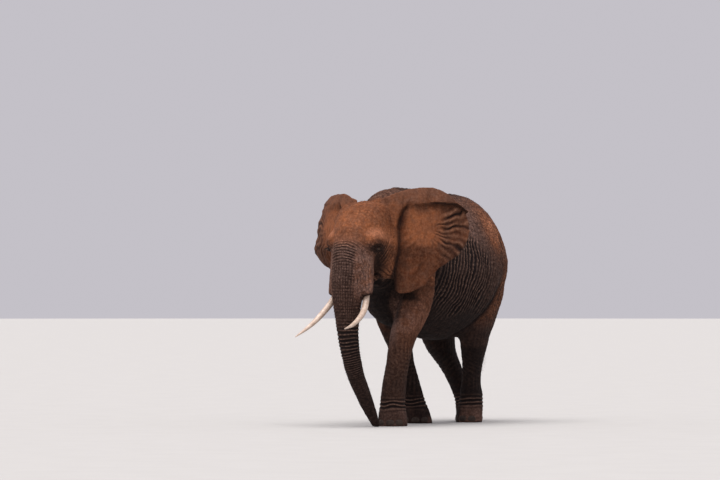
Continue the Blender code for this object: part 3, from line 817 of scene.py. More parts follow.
folded = Hide(skin.data)
depth = folded.depth()
moved = folded.r.at + folded.r.normal * depth[:, None]
for side in (1, -1):
    way = over_ear(folded.r.at, side)[1]
    lift, slide = folded.lifts[side][0]
    moved += way * lift[:, None] + np.stack([-way[:, 1], way[:, 0], way[:, 2]], 1) * side * slide[:, None]
moved[:, 2] = np.maximum(moved[:, 2], 0.0)
move_to(skin.data, moved + SHOULDERS)
print("deepest groove:", round(float(depth.min()), 4))

# %% [markdown]
# ## Eyelids
# The eye looks out through an almond opening. Skin inside the opening is pushed behind the ball, and
# skin round it is drawn over the ball as two thick lids, with rings of fine wrinkles beyond them.

# %% Draw the lids over the eyes
BALL = 0.021
LID = 0.0045            # thickness of a lid over the ball
OPENING = (0.0235, 0.0125)              # half width and half height of the opening
CORNERS_DROP = 0.06     # how far the opening's corners hang, for each metre along it
WRINKLED = 0.10         # how far from the eye the wrinkles go
WRINKLE_STEP, WRINKLE_DEPTH = 0.0105, 0.0024
SOCKET = (0.045, 0.022, 0.012)          # the hollow round the ball: how far out, its width, its depth
BROW = (0.055, 0.018, 0.010)            # the ridge over it: how far up, its width, its height
BEHIND = 0.006          # how far behind the ball's face the skin in the opening lies
LIDS_FACE = {side: np.array(Vector((way * 0.86, -0.50, 0.05)).normalized()) for side, way in SIDES.items()}


def draw_lids(mesh, centre, out):
    at = points_of(mesh)
    up = unit(UP - out * out[2])
    along = np.cross(up, out)
    off = at - np.array(centre)
    a, b, c = off @ along, off @ up, off @ out
    near = (np.hypot(a, b) < WRINKLED) & (np.abs(c) < 0.8 * WRINKLED)
    a, b, c = a[near], b[near], c[near]
    far = np.hypot(a, b)
    opening = np.hypot(a / OPENING[0], (b + CORNERS_DROP * np.abs(a)) / OPENING[1])
    socket = c - SOCKET[2] * bell(far, *SOCKET[:2]) * (0.6 + 0.4 * step(b, 0.02, -0.02))
    socket += BROW[2] * bell(b, *BROW[:2]) * bell(a, 0.0, 0.05)
    turns = far / WRINKLE_STEP + 0.4 * cloud(at[near], 0.02, 51)
    rings = grooves(turns, 1.4) * bell(far, 0.052, 0.020)
    socket -= WRINKLE_DEPTH * rings * (0.4 + 0.6 * step(b, 0.01, -0.01))
    over = np.sqrt(np.maximum((BALL + LID) ** 2 - far ** 2, 0.0))
    lids = over + 0.0020 * bell(opening, 1.15, 0.22) - 0.0035 * bell(opening, 2.0, 0.25) * (b > 0)
    blend = step(far, 0.034, 0.019)
    raised = socket * (1 - blend) + lids * blend
    behind_ball = np.sqrt(np.maximum(BALL ** 2 - far ** 2, 0.0)) - BEHIND
    at[near] += out * (np.where(opening < 1, behind_ball, raised) - c)[:, None]
    move_to(mesh, at)


for side, centre in EYES.items():
    draw_lids(skin.data, centre, LIDS_FACE[side])
    print("lids round the", side, "eye")

# %% [markdown]
# ## A lighter mesh
# Flat hide needs few triangles and folds need many. Decimate removes edges where the loss is least,
# so the folds stay, and the skin comes under 200,000 triangles.

# %% Thin the mesh
SKIN_TRIANGLES = 190000


def triangles_of(mesh):
    return sum(len(face.vertices) - 2 for face in mesh.polygons)


thinner = skin.modifiers.new("Thin", "DECIMATE")
thinner.ratio = SKIN_TRIANGLES / triangles_of(skin.data)
apply_modifiers(skin)
print("skin triangles:", triangles_of(skin.data))

# %% [markdown]
# ## What colours the hide
# The hide itself is grey-brown. Red dust lies on the forehead, ears and hips, a paler bloom on the
# upper flank, and painted shade darkens the folds, the chest, the belly and all that faces down; the
# hind legs, and the trunk and forelegs lower down, are darker too. Painted highlights brighten the
# brow, the cheek's lower edge and the front of the left foreleg. Each of these is a mask that is
# stored on the vertices, so the finish can break it up with noise.

# %% Masks for the finish
def store(mesh, name, values):
    mesh.attributes.new(name, "FLOAT", "POINT").data.foreach_set("value", values.astype(np.float32))


class Parts:
    """The parts of the animal that the masks speak of, each 1 there and 0 elsewhere."""

    def __init__(self, hide):
        r = hide.r
        self.ears, self.body = hide.ears, 1 - hide.ears
        self.head, self.trunk, self.legs = r.mask("head", 8), r.mask("trunk", 6), r.mask("leg", 8)
        self.torso, self.neck, self.jaw = r.mask("torso", 6), r.mask("neck", 6), r.mask("lower_jaw", 6)
        self.left = step(r.x, -0.05, 0.05)
        self.arm = step(behind(r, FORELEG_REAR), 0.01, -0.03) * self.body
        self.arm *= r.zone(side=(0.20, 0.30), z=(0.75, 0.95, 1.75, 1.95))
        self.foreleg = np.maximum(self.arm, self.legs * r.zone(y=(0.72, 0.60), z=(1.0, 0.8)))
        self.thigh = step(behind(r, THIGH_FRONT), 0.0, 0.05)
        self.thigh *= r.zone(side=(0.12, 0.25), z=(0.80, 1.0, 1.55, 1.85))
        hind_legs = self.legs * r.zone(y=(0.72, 0.90), z=(1.0, 0.8))
        self.hind = np.maximum(self.thigh * step(r.z, 1.3, 0.9), hind_legs)
        self.sheath = r.zone(side=(0.10, 0.17), y=(-0.98, -1.08), z=(1.3, 1.5, 1.8, 2.0))
        self.out = np.hypot(r.side - EAR_ROOT_AT[0], r.y - EAR_ROOT_AT[1])
        self.across = np.where(r.x > 0, beside_root(r, 1)[0], beside_root(r, -1)[0])


# The edges below are lines seen from the front quarter, with how far out of the ear's root as across.
FORELEG_FRONT = ((0.85, 0.95, 1.04, 1.27, 1.45, 1.55), (-0.40, -0.20, -0.12, -0.08, -0.045, 0.0))  # z, across
CHEEK_EDGE = ((-0.217, -0.127, -0.066, -0.030, -0.011), (1.535, 1.572, 1.612, 1.673, 1.739))       # across, z
LOBE_EDGE = ((0.0, 0.031, 0.085, 0.188, 0.27, 0.33), (1.49, 1.448, 1.437, 1.45, 1.49, 1.575))      # across, z
EAR_DARK_PATCHES = (          # how far out, height, half width, half height, strength
    (0.25, 2.375, 0.18, 0.040, 0.95), (0.08, 2.24, 0.05, 0.14, 1.15),
    (0.25, 1.925, 0.19, 0.065, 1.0), (0.74, 2.14, 0.11, 0.15, 1.0),
)
BLOOM_ON_ARM = (0.33, -0.52, 1.16)


def dust_and_light_mask(r, p):
    """A red dusting, thick on the forehead, brow, ears and hips and thin elsewhere, with a painted
    highlight on the brow ridge and painted light on the tusk sheaths.
    """
    dust = 0.10 + p.head * (
        0.62 * step(r.z, 1.90, 2.04)
        + 0.25 * r.spot(-1.00, 2.06, 0.14, 0.09) * step(r.side, 0.10, 0.22)
        + 0.55 * r.spot(-0.80, 1.88, 0.15, 0.26) * step(r.side, 0.2, 0.27)
        # painted highlight on the brow ridge
        + 0.45 * r.spot(-1.03, 2.11, 0.09, 0.055) * step(r.side, 0.12, 0.20))
    dust += p.ears * (
        0.50 + 0.35 * bell(np.hypot(p.out - 0.24, (r.z - 2.16) / 0.9), 0, 0.20)
        - 0.12 * step(p.out, 0.42, 0.62) - 0.22 * step(r.z, 2.39, 2.44))
    dust += 0.15 * r.zone(faces_up=(0.2, 0.8), z=(1.9, 2.2)) * p.body
    dust += 1.20 * r.spot(1.24, 2.12, 0.18, 0.24) + 0.75 * r.spot(1.60, 1.78, 0.18, 0.42)
    dust += 0.30 * p.arm + 0.22 * p.foreleg * step(r.z, 0.4, 0.9) + 0.60 * p.thigh * step(r.z, 1.0, 1.3)
    # painted light: the tusk sheaths, which face down, are brightened
    return dust + 0.45 * p.sheath


def pale_mask(r, p):
    """A paler bloom on the upper flank, the tusk sheaths, the forelegs and the feet, and painted light
    on the left legs where they face forward.
    """
    pale = 0.80 * r.spot(0.80, 2.17, 0.22, 0.22) + 0.25 * r.spot(0.45, 2.35, 0.45, 0.12)
    pale += 0.40 * bell(np.linalg.norm(r.at - BLOOM_ON_ARM, axis=1), 0, 0.17)
    pale += 1.1 * p.sheath + 0.35 * r.zone(side=(0.19, 0.11), y=(-1.10, -1.20), z=(1.45, 1.65, 1.98, 2.12))
    # painted light: the left legs lighter where they face forward
    front = step(-r.faces_y, 0.3, 0.9) * step(r.z, 0.5, 0.8)
    return pale + p.legs * (0.45 * step(r.z, 0.26, 0.12) + 0.30 * p.left * front)


def brown_mask(r, p):
    """Darker brown: low on the ears, on their outer fan and top band and in patches, on the crown,
    temples and forehead, and down the forelegs.
    """
    brown = p.ears * (
        0.90 * step(r.z, 2.04, 1.90) + 0.52 * step(p.out, 0.40, 0.60) * step(r.z, 2.42, 2.34)
        + 0.20 * step(r.z, 2.38, 2.44))
    for out_at, z_at, wide, high, dark in EAR_DARK_PATCHES:
        patch = bell(np.hypot((p.out - out_at) / wide, (r.z - z_at) / high), 0, 1)
        brown = np.maximum(brown, dark * p.ears * patch)
    brown += p.head * (
        0.50 * r.spot(-0.88, 2.28, 0.14, 0.10) * step(r.side, 0.08, 0.18) + 0.42 * step(r.z, 2.26, 2.38)
        + 0.45 * bell(np.hypot((r.x + 0.03) / 0.6, r.z - 2.10), 0, 0.06) * step(r.y, -0.9, -1.0)
        + 0.40 * r.spot(-0.78, 2.20, 0.06, 0.18) * step(r.side, 0.20, 0.28))
    return brown + 0.72 * p.foreleg * r.zone(z=(0.15, 0.40, 0.85, 1.15)) + 0.28 * p.arm


# Painted shade round each eye and over its upper lid.
def shade_round_eyes(r):
    far = [np.linalg.norm((r.at + SHOULDERS - np.array(centre)) * (0.8, 0.8, 1.0) - (0, 0, up_by), axis=1)
           for centre in EYES.values() for up_by in (0.010, 0.060)]
    return bell(np.minimum.reduce(far), 0.0, 0.066)


def colour_masks(hide):
    r, p = hide.r, Parts(hide)
    over_edge = r.z - np.interp(p.across, *CHEEK_EDGE)
    cheek = r.zone(y=(-1.06, -1.00, -0.42, -0.30), side=(0.06, 0.14))
    cheek *= np.maximum(p.body, step(p.across - np.interp(r.z, *SEAM), 0.0, -0.012))
    # Painted light on the lower cheek above its edge, which also eases the painted shade of hide facing down.
    lit_low_cheek = cheek * step(over_edge, -0.006, 0.012) * r.zone(z=(1.80, 1.70), y=(-0.64, -0.72))
    below_cheek = step(over_edge, 0.004, -0.016)
    # Painted highlight along the cheek's lower edge; it also lightens the painted shade there.
    rim_highlight = bell(over_edge, 0.020, 0.014) * cheek * step(p.across, 0.0, -0.02)
    throat = p.jaw * np.maximum(r.zone(z=(1.80, 1.62), side=(0.14, 0.06)), below_cheek)
    throat = np.maximum(throat * step(r.y, -1.02, -0.96), p.neck * step(r.z, 2.45, 2.2))

    # Painted light on the front of the left foreleg, which keeps the painted shade of the chest, the legs'
    # inner sides and the undersides off it.
    lit_foreleg_front = step(p.across - np.interp(r.z, *FORELEG_FRONT), -0.008, 0.010) * p.left
    lit_foreleg_front *= r.zone(z=(1.62, 1.50), side=(0.04, 0.10), y=(0.10, -0.05))
    lit_foreleg_front *= 1 - 0.8 * step(r.faces_y, 0.2, 0.6)
    chest = r.zone(y=(-0.92, -0.70, -0.20, 0.10), z=(1.90, 1.74), side=(0.36, 0.20)) * p.body * (1 - lit_foreleg_front)
    inner = p.legs * step(-r.faces_x * np.sign(r.x), -0.1, 0.5) * (1 - lit_foreleg_front)
    under = step(r.faces_up, 0.05, -0.55) * (1 - p.trunk) * p.body * (1 - lit_foreleg_front) * (1 - 0.7 * lit_low_cheek)
    # Painted shadow that the ear lobe casts on the foreleg and flank below it.
    lobe_shadow = bell(r.z - np.interp(p.across, *LOBE_EDGE), -0.006, 0.016) * p.body
    lobe_shadow *= step(p.across, 0.33, 0.24) * step(p.across, -0.04, 0.0)
    lobe_shadow *= r.zone(y=(0.20, 0.0), side=(0.1, 0.2))
    belly = p.torso * (0.50 + 0.42 * step(r.z, 1.75, 1.15)) * r.zone(z=(2.15, 1.75), side=(0.1, 0.3))
    belly *= (1 - p.arm) * (1 - 0.75 * p.thigh) * (1 - 0.45 * r.zone(y=(0.55, 1.10), z=(1.2, 1.5)))
    # Painted shade: under all that faces down, on the chest under the head, below the cheek and on the
    # throat, on the inner sides of the legs and on the right legs, in the hollows, on the belly, under the
    # ear lobe, round the eyes and in the cheek hollow. It also darkens the hind legs, the top of the back,
    # and the forelegs and trunk lower down.
    shade = most(
        0.90 * under, 0.97 * chest, 0.97 * below_cheek * cheek * step(r.z, 1.30, 1.40), 0.90 * inner,
        0.93 * throat, 0.97 * hide.hollow, belly, 0.85 * lobe_shadow, 0.88 * shade_round_eyes(r),
        0.97 * p.hind * step(r.z, 0.0, 0.35), 0.85 * p.legs * (1 - p.left),
        (0.30 * step(r.z, 1.10, 0.90) + 0.14 * step(r.z, 0.6, 0.3)) * p.foreleg,
        (0.24 + 0.56 * step(r.z, 1.30, 0.9)) * p.trunk * (1 - 0.8 * p.sheath),
        0.62 * p.torso * r.zone(side=(0.16, 0.05), z=(2.3, 2.45)),
        0.40 * p.head * r.spot(-0.92, 1.80, 0.16, 0.12),
    )
    return {
        "dust": dust_and_light_mask(r, p) + 0.25 * rim_highlight + 0.30 * lit_low_cheek,
        "pale": pale_mask(r, p) + 0.5 * rim_highlight + 0.35 * lit_foreleg_front * bell(r.z, 1.25, 0.25),
        "shade": shade * (1 - 0.75 * rim_highlight),
        "brown": brown_mask(r, p),
        "smooth": most(
            p.ears, 0.8 * p.head * step(r.z, 1.95, 2.05), 0.55 * p.legs, 0.55 * p.arm),
        "ridged": hide.ridged,
    }


hide_shape = Hide(skin.data)
for name, values in colour_masks(hide_shape).items():
    store(skin.data, name, np.clip(values, 0, 1.5))
(_, left_fan, left_dark), (_, right_fan, right_dark) = hide_shape.lifts.values()
off_ears = 1 - hide_shape.ears
every_main = pick([hide_shape.main, left_fan, right_fan])
for name, (turns, depth), deepest, where in (
        ("main", every_main, 0.008, 1.0), ("cross", hide_shape.cross, 0.006, off_ears)):
    store(skin.data, name + "_turns", turns)
    store(skin.data, name + "_depth", np.clip(depth / deepest, 0, 1) * where)
# Painted shade for the finish: in the body's folds and hollows and the net of creases, and on the ears under
# the rolled rim, along the root crease and under the jaw.
hollow = np.maximum(hide_shape.hollow * 0.8, 0.7 * hide_shape.net) * off_ears
store(skin.data, "hollow", np.clip(most(hollow, left_dark, right_dark), 0, 1))
print("masks stored on", len(skin.data.vertices), "vertices")

# %% [markdown]
# ## The hide
# Dry hide has no sheen. Its look is in the relief: the big folds are modelled, and the finish adds the
# lines between them, a fine net of cracks and grit, each a height that tilts the light. Painted shade
# darkens the grooves, cracks and hollows, and dust and a painted highlight lighten the crests.

# %% Finish of the hide
HIDE = (0.080, 0.044, 0.034)
# the red of the dust, which the painted light on the brow, the cheek's edge and the sheaths also takes
RED_DUST_AND_LIGHT = (0.325, 0.101, 0.035)
# the thickest dust, which the brow's painted highlight also takes
THICK_DUST_AND_HIGHLIGHT = (0.50, 0.205, 0.115)
PALE = (0.275, 0.160, 0.132)
# the dark brown of painted shade: undersides, grooves, hollows and cracks
PAINTED_SHADE = (0.0065, 0.0040, 0.0042)
DAMP, DARK_BROWN_TINT = (0.46, 0.38, 0.32), (0.28, 0.22, 0.17)      # what they multiply the colour by
hide = Finish("hide")


def line_of(turns, narrow):
    """1 on a groove and 0 between, with one groove for each whole turn."""
    level = hide.node("ShaderNodeMath", {"operation": "COSINE"}, {0: turns * math.tau})
    return ((level + 1) * 0.5) ** narrow


dust, pale, shade, calm = (hide.attribute(name) for name in ("dust", "pale", "shade", "smooth"))
broad = hide.noise(0.28, detail=4, rough=0.55)
blotch = hide.noise(0.085, detail=5, rough=0.62)
grit = hide.noise(0.012, detail=4, rough=0.7)
warped_place = hide.node("ShaderNodeVectorMath", {"operation": "MULTIPLY_ADD"}, {
    0: hide.node("ShaderNodeTexNoise", {}, {"Vector": hide.place, "Scale": 14.0, "Detail": 3.0}, out="Color"),
    1: (0.035, 0.035, 0.035), 2: hide.place,
})
net_large = 1 - hide.cracks(0.034, warped_place).between(0.0, 0.17)
net_small = 1 - hide.cracks(0.013, warped_place).between(0.0, 0.20)
turns, crossing = hide.attribute("main_turns"), hide.attribute("cross_turns")
deep, cross_deep = hide.attribute("main_depth"), hide.attribute("cross_depth")
ridged = hide.attribute("ridged")
# ridge and crest: where dust and a painted highlight lighten the crests; valley and groove: where painted
# shade darkens the grooves and hollows
ridge = line_of(turns + 0.5, 1.0)
valley = (1 - ridge) ** 1.7 * (1 - ridged) + (1 - ridge ** 3.2) * ridged
groove = (valley * deep).at_least(line_of(crossing, 2.2) * cross_deep * 0.85)
groove = groove.at_least(hide.attribute("hollow") * 0.85)
crest = (ridge ** (ridged * 3 + 2) * deep).at_least(line_of(crossing + 0.5, 2.0) * cross_deep * 0.6)
rough_hide = 1 - calm * 0.70
cracked = (net_large * 0.60 + net_small * 0.30) * rough_hide * (blotch * 0.9 + 0.45)
mottle = hide.noise(0.026, detail=3, rough=0.6, place=warped_place).between(0.36, 0.66)

streaks = hide.noise(0.055, detail=4, rough=0.6, place=hide.stretched((1.0, 1.0, 0.45)))
dusted_and_lit = dust * (0.62 + blotch.between(0.30, 0.70) * 0.45) + (broad - 0.5) * 0.30 * dust.between(0.05, 0.4)
colour = hide.layers(
    hide.mix(broad.between(0.3, 0.7), HIDE, tuple(c * 0.70 for c in HIDE)),
    # red dust, and painted light on the brow, the cheek's edge and the tusk sheaths
    (dusted_and_lit.between(-0.15, 1.05), RED_DUST_AND_LIGHT),
    # the thickest dust, and the brow's painted highlight
    (dust.between(0.80, 1.30) * 0.55, THICK_DUST_AND_HIGHLIGHT),
    # the paler bloom, and painted light on the cheek's edge and the front of the left foreleg
    (pale * blotch.between(0.30, 0.62), PALE),
    (grit.between(0.40, 0.75) * 0.16, (0.24, 0.14, 0.10)),
    (broad.between(0.52, 0.75) * 0.38, (0.050, 0.024, 0.016)),
    # painted shade from the shade mask
    (shade * (0.90 + (1 - blotch) * 0.20), PAINTED_SHADE),
)
damp, dark_brown = (hide.mix(1.0, colour, tint, how="MULTIPLY") for tint in (DAMP, DARK_BROWN_TINT))
dusty_fleck = hide.mix(dusted_and_lit, (0.18, 0.115, 0.095), (0.46, 0.20, 0.10))
crest_tone = hide.mix(ridged, (0.22, 0.14, 0.11), (0.25, 0.155, 0.120))
lit_crest = crest * (0.46 - shade * 0.20 + ridged * 0.30) * (mottle * 0.5 + 0.6)
colour = hide.layers(
    colour,
    ((1 - mottle) * (0.72 - calm * 0.54), damp),
    (hide.attribute("brown") * (0.75 + broad * 0.4), dark_brown),
    (mottle * (1 - shade * 0.85) * (0.28 - calm * 0.10), dusty_fleck),
    # dust and a painted highlight on the crests
    (lit_crest, hide.mix(dusted_and_lit, crest_tone, (0.50, 0.22, 0.11))),
    # painted shade in the net of cracks
    (cracked * 0.75, PAINTED_SHADE),
    (streaks.between(0.48, 0.72) * calm * 0.45, (0.045, 0.018, 0.010)),
    # painted shade in the grooves and hollows
    (groove * 0.97, PAINTED_SHADE),
)
height = 1 - groove * 0.6 - cracked * 0.5 + grit * 0.18 + blotch * 0.25
hide.set(
    Base_Color=colour,
    Roughness=(0.80 + (1 - grit) * 0.12 + groove * 0.08).at_most(0.97),
    Normal=hide.bump(height, 0.007, 0.9),
    Specular_IOR_Level=0.12,
)
finished(skin, hide, "skin", *FLESH)

# %% [markdown]
# ## Eyes
# An elephant's eye is small, dark amber and wet. A ball with a slight bulge in front for the cornea
# takes a clear coat, and its iris is drawn by the distance from the line of sight.

# %% Eyeballs
def smooth_object(bm, name, finish, slot, *nodes):
    bmesh.ops.recalc_face_normals(bm, faces=bm.faces)
    return finished(object_from(bm, name), finish, slot, *nodes)


PUPIL, IRIS = (0.24, 0.30), (0.46, 0.56)    # soft edges, as angles from the line of sight
CORNEA = 0.0022         # how far it bulges
wet_eye = Finish("wet_eye")
angle = wet_eye.attribute("from_sight")
fibres = wet_eye.noise(0.002, detail=4, rough=0.7)
iris = wet_eye.mix(fibres, (0.055, 0.022, 0.008), (0.15, 0.062, 0.020))
eye_colour = wet_eye.layers(
    (0.002, 0.002, 0.002), (angle.between(*PUPIL), iris), (angle.between(*IRIS), (0.018, 0.010, 0.008)))
wet_eye.set(
    Base_Color=eye_colour, Roughness=0.08, Coat_Weight=0.25, Coat_Roughness=0.03,
    Specular_IOR_Level=0.3,
)
for side, centre in EYES.items():
    sight = Vector((SIDES[side] * 0.82, -0.57, -0.04)).normalized()
    bm = bmesh.new()
    place = Matrix.Translation(centre)
    bmesh.ops.create_uvsphere(bm, u_segments=40, v_segments=24, radius=BALL, matrix=place)
    for vertex in bm.verts:
        vertex.co += sight * CORNEA * float(bell((vertex.co - centre).angle(sight), 0.0, 0.5))
    angles = np.array([(vertex.co - centre).angle(sight) for vertex in bm.verts])
    ball = smooth_object(bm, f"eyeball_{side}", wet_eye, "eyeball", f"eye_{side}")
    store(ball.data, "from_sight", angles)
    print("eye", side, [round(v, 3) for v in centre])

# %% [markdown]
# ## Tusks
# Ivory is smooth and pale, stained at the root, with faint lines along it and fine wear at the tip.
# The solid tusk has twelve flat sides: subdivision rounds them, after each point is moved a little in.

# %% Tusks
TAKEN_IN = 0.0030       # how far
ivory = Finish("ivory")
along_tusk = ivory.attribute("from_root")
lines = ivory.noise(0.02, detail=5, place=ivory.stretched((6.0, 1.2, 1.2)))
stain = ivory.noise(0.05, detail=4)
ivory_colour = ivory.layers(
    ivory.mix(stain.between(0.35, 0.70), (0.47, 0.34, 0.26), (0.64, 0.50, 0.41)),
    (lines.between(0.55, 0.75) * 0.35, (0.34, 0.23, 0.16)),
    ((1 - along_tusk.between(0.0, 0.22)) * (0.45 + stain * 0.5), (0.24, 0.14, 0.09)),
)
ivory.set(
    Base_Color=ivory_colour, Roughness=0.34 + stain * 0.18,
    Normal=ivory.bump(lines + stain * 0.5, 0.0012, 0.5), Coat_Weight=0.15, Coat_Roughness=0.25,
)
for side in SIDES:
    bm = merged(f"tusk_{side}")
    for vertex in bm.verts:
        vertex.co -= vertex.normal * TAKEN_IN
    tusk = smooth_object(bm, f"ivory_tusk_{side}", ivory, "ivory", f"tusk_{side}")
    rounder = tusk.modifiers.new("Round", "SUBSURF")
    rounder.levels = rounder.render_levels = 2
    apply_modifiers(tusk)
    tusk.data.shade_smooth()
    places = points_of(tusk.data)
    from_root = np.linalg.norm(places - places[places[:, 2].argmax()], axis=1)
    store(tusk.data, "from_root", from_root / from_root.max())
    print("tusk", side, len(tusk.data.polygons), "faces")

# %% [markdown]
# ## Toenails
# Each nail is a blunt shield of horn set in the edge of the foot: wide, low and worn flat beneath.

# %% Toenails
NAIL_HALF = (0.047, 0.018, 0.034)
NAIL_SUNK = 0.004       # how far it is set into the foot
SQUARENESS = 0.72       # below 1, an ellipsoid's sides turn flatter
horn = Finish("horn")
grain = horn.noise(0.012, detail=5, rough=0.65, place=horn.stretched((1.0, 1.0, 3.0)))
soil = horn.noise(0.03, detail=4)
horn_colour = horn.mix(grain, (0.026, 0.017, 0.013), (0.070, 0.047, 0.036))
horn_colour = horn.mix(soil.between(0.35, 0.65) * 0.8, horn_colour, (0.022, 0.014, 0.012))
horn.set(
    Base_Color=horn_colour, Roughness=0.6 + grain * 0.3, Normal=horn.bump(grain, 0.002, 0.6),
    Specular_IOR_Level=0.2,
)
for mount in frame["record"]["mounts"]:
    foot = mount["name"].removeprefix("sole_")
    nails = sorted(name for name in frame["nodes"] if name.startswith(f"nail_{foot}_"))
    bm = bmesh.new()
    for name in nails:
        middle = sum(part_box(name), Vector()) / 2
        outward = (middle - Vector(mount["pos_m"])) * Vector((1, 1, 0))
        turn = Matrix.Rotation(math.atan2(outward.x, -outward.y), 4, "Z")
        made = bmesh.ops.create_uvsphere(bm, u_segments=20, v_segments=12, radius=1.0)["verts"]
        for vertex in made:
            across, _, up = (math.copysign(abs(value) ** SQUARENESS, value) for value in vertex.co)
            vertex.co = (across * (1.0 - 0.20 * max(up, 0.0)), vertex.co.y, max(up, -0.9))
        place = Matrix.Translation(middle - outward.normalized() * NAIL_SUNK) @ turn
        bmesh.ops.transform(bm, matrix=place @ Matrix.Diagonal((*NAIL_HALF, 1.0)), verts=made)
    smooth_object(bm, f"toenails_{foot}", horn, "horn", *nails)
    print(foot, len(nails), "nails")

# %% [markdown]
# ## Hairs
# An elephant keeps only a few stiff hairs: long black ones along the two edges of the tail's end,
# lashes, and short bristles on the crown, chin, back and trunk. Each is a thin bent spike. One spike is
# made with the cone operator, and all the others are copies of its points, joined in one mesh.

# %% One hair, and how to plant many
def spike(segments):
    """The corners and faces of an upright three-sided spike of height 1 and radius 1."""
    bm = bmesh.new()
    bmesh.ops.create_cone(bm, cap_ends=True, segments=3, radius1=1.0, radius2=0.25, depth=1.0,
                          matrix=Matrix.Translation((0, 0, 0.5)))
    for cut in range(1, segments):
        bmesh.ops.bisect_plane(bm, geom=[*bm.verts, *bm.edges, *bm.faces], plane_co=(0, 0, cut / segments),
                               plane_no=(0, 0, 1))
    bmesh.ops.triangulate(bm, faces=bm.faces)
    corners = np.array([v.co for v in bm.verts])
    faces = np.array([[v.index for v in face.verts] for face in bm.faces])
    bm.free()
    return corners, faces


PATCH = 0.003       # how wide a hair's patch is on the map for its colour


def plant(name, roots, directions, lengths, width, droops, unwrap, segments=4):
    """Hairs as one mesh: each leaves its root along a direction and bends down towards its end."""
    corners, faces = spike(segments)
    directions = unit(directions)
    side = unit(np.cross(directions, (0.13, 0.27, 0.95)))
    other = np.cross(directions, side)
    up = corners[:, 2]
    flat = corners[:, :2] * (1 - 0.55 * up)[:, None] * width
    at = roots[:, None] + directions[:, None] * (up[None, :, None] * lengths[:, None, None])
    at += side[:, None] * flat[None, :, :1] + other[:, None] * flat[None, :, 1:]
    at[:, :, 2] -= (up ** 2)[None] * (droops * lengths)[:, None]
    every = (faces[None] + (np.arange(len(roots)) * len(corners))[:, None, None]).reshape(-1, 3)
    mesh = bpy.data.meshes.new(name)
    mesh.from_pydata(at.reshape(-1, 3), [], every.tolist())
    patch = (corners[:, :2] * 0.35 + up[:, None] * 0.3) * PATCH
    uv = (unwrap(roots)[:, None] + patch[None]).reshape(-1, 2)
    layer = mesh.uv_layers.new(name="OFBake")
    layer.uv.foreach_set("vector", uv[every.ravel()].astype(np.float32).ravel())
    made = bpy.data.objects.new(name, mesh)
    bpy.context.scene.collection.objects.link(made)
    finished(made, black_hair, "skin")
    print(name, len(roots), "hairs,", len(every), "triangles")


def unwrap_body(points):
    """The body unrolled about its long axis."""
    off = points - SHOULDERS
    around = np.arctan2(off[:, 0], off[:, 2] - 1.7) / math.tau + 0.5
    return np.stack([around * 0.96 + 0.02, (off[:, 1] + 1.9) / 3.95], 1)


black_hair = Finish("black_hair")
tone = black_hair.noise(0.03, detail=2)
black_hair.set(
    Base_Color=black_hair.mix(tone, (0.010, 0.008, 0.007), (0.045, 0.030, 0.024)),
    Roughness=0.55 + tone * 0.1, Specular_IOR_Level=0.12,
)

# %% Tail tuft
TAIL_HAIRS = 420
TUFT_HEIGHT = 0.33      # how far up the tail the hairs reach
INSET = 0.006           # how deep the roots lie in the tail's front and rear edges
rng = np.random.default_rng(7)
tail_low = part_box("tail")[0].z
root_z = tail_low + 0.03 + rng.uniform(0.0, 1.0, TAIL_HAIRS) ** 0.8 * TUFT_HEIGHT
edge = np.where(rng.uniform(size=TAIL_HAIRS) < 0.5, -1.0, 1.0)
tail_points = points_of(skin.data)[hide_shape.r.mask("tail", 0) > 0.5]
levels = np.linspace(tail_low, tail_low + 0.45, 12)
slices = [tail_points[np.abs(tail_points[:, 2] - level) < 0.035] for level in levels]
middle_x = np.interp(root_z, levels, [points[:, 0].mean() for points in slices])
front_y = np.interp(root_z, levels, [points[:, 1].min() for points in slices])
back_y = np.interp(root_z, levels, [points[:, 1].max() for points in slices])
root_x = middle_x + rng.normal(0, 0.006, TAIL_HAIRS)
roots = np.stack([root_x, np.where(edge < 0, front_y + INSET, back_y - INSET), root_z], 1)
way_x = rng.normal(0, 0.10, TAIL_HAIRS)
ways = np.stack([way_x, edge * rng.uniform(0.05, 0.30, TAIL_HAIRS), -np.ones(TAIL_HAIRS)], 1)
lengths = rng.uniform(0.14, 0.26, TAIL_HAIRS)
lengths = np.minimum(lengths, root_z - tail_low + rng.uniform(0.0, 0.11, TAIL_HAIRS))


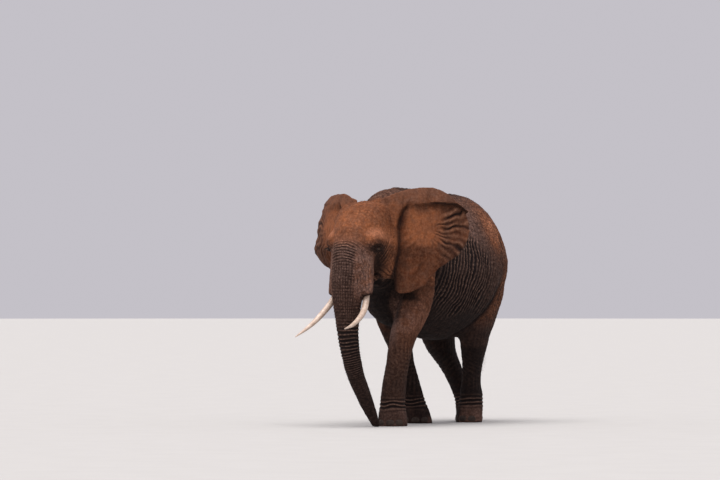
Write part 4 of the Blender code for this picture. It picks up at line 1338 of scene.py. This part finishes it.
def unwrap_tail(points):
    around = np.arctan2(points[:, 0] - middle_x.mean(), points[:, 1] - (front_y.mean() + back_y.mean()) / 2)
    return np.stack([around / math.tau * 0.94 + 0.5, (points[:, 2] - tail_low) / 0.5 + 0.1], 1)


plant("tail_hairs", roots, ways, lengths, 0.0011, np.zeros(TAIL_HAIRS), unwrap_tail, segments=5)

# %% Lashes
LASHES = 46
for side, centre in EYES.items():
    outward = LIDS_FACE[side]
    along_eye = np.cross(UP, outward)
    sweep = rng.uniform(-1.0, 1.0, LASHES)
    along = sweep * OPENING[0] * 1.05
    up = OPENING[1] * (1.05 - 0.75 * sweep ** 2)
    over = np.sqrt((BALL + LID) ** 2 - along ** 2 - up ** 2) - 0.001
    roots = np.array(centre) + along_eye * along[:, None] + UP * up[:, None]
    roots += outward * over[:, None]
    ways = outward * 0.9 + along_eye * (sweep * 0.45)[:, None] - UP * 0.25
    ways = ways + rng.normal(0, 0.06, (LASHES, 3))
    lengths, droops = rng.uniform(0.035, 0.055, LASHES), rng.uniform(0.25, 0.5, LASHES)
    plant(f"lashes_{side}", roots, ways, lengths, 0.0006, droops, unwrap_body)

# %% Bristles
BRISTLES = 2600
r = hide_shape.r
bare = 1 - hide_shape.ears
crown = r.mask("head", 2) * step(r.z, 2.15, 2.35) * bare
spine = r.mask("torso", 2) * step(r.z, 2.25, 2.45)
chance = 1.4 * crown + 2.0 * r.mask("lower_jaw", 2) + 0.5 * spine + r.mask("trunk", 2) * 0.35 + 0.02
chance = np.clip(chance, 0, None) * bare * step(r.z, 0.15, 0.3)
picked = rng.choice(len(chance), BRISTLES, replace=False, p=chance / chance.sum())
ways = r.normal[picked] + rng.normal(0, 0.25, (BRISTLES, 3)) + np.array((0.0, 0.25, -0.15))
roots = r.at[picked] + SHOULDERS - r.normal[picked] * 0.002
lengths, droops = rng.uniform(0.012, 0.038, BRISTLES), rng.uniform(0.0, 0.25, BRISTLES)
plant("bristles", roots, ways, lengths, 0.0005, droops, unwrap_body, segments=3)
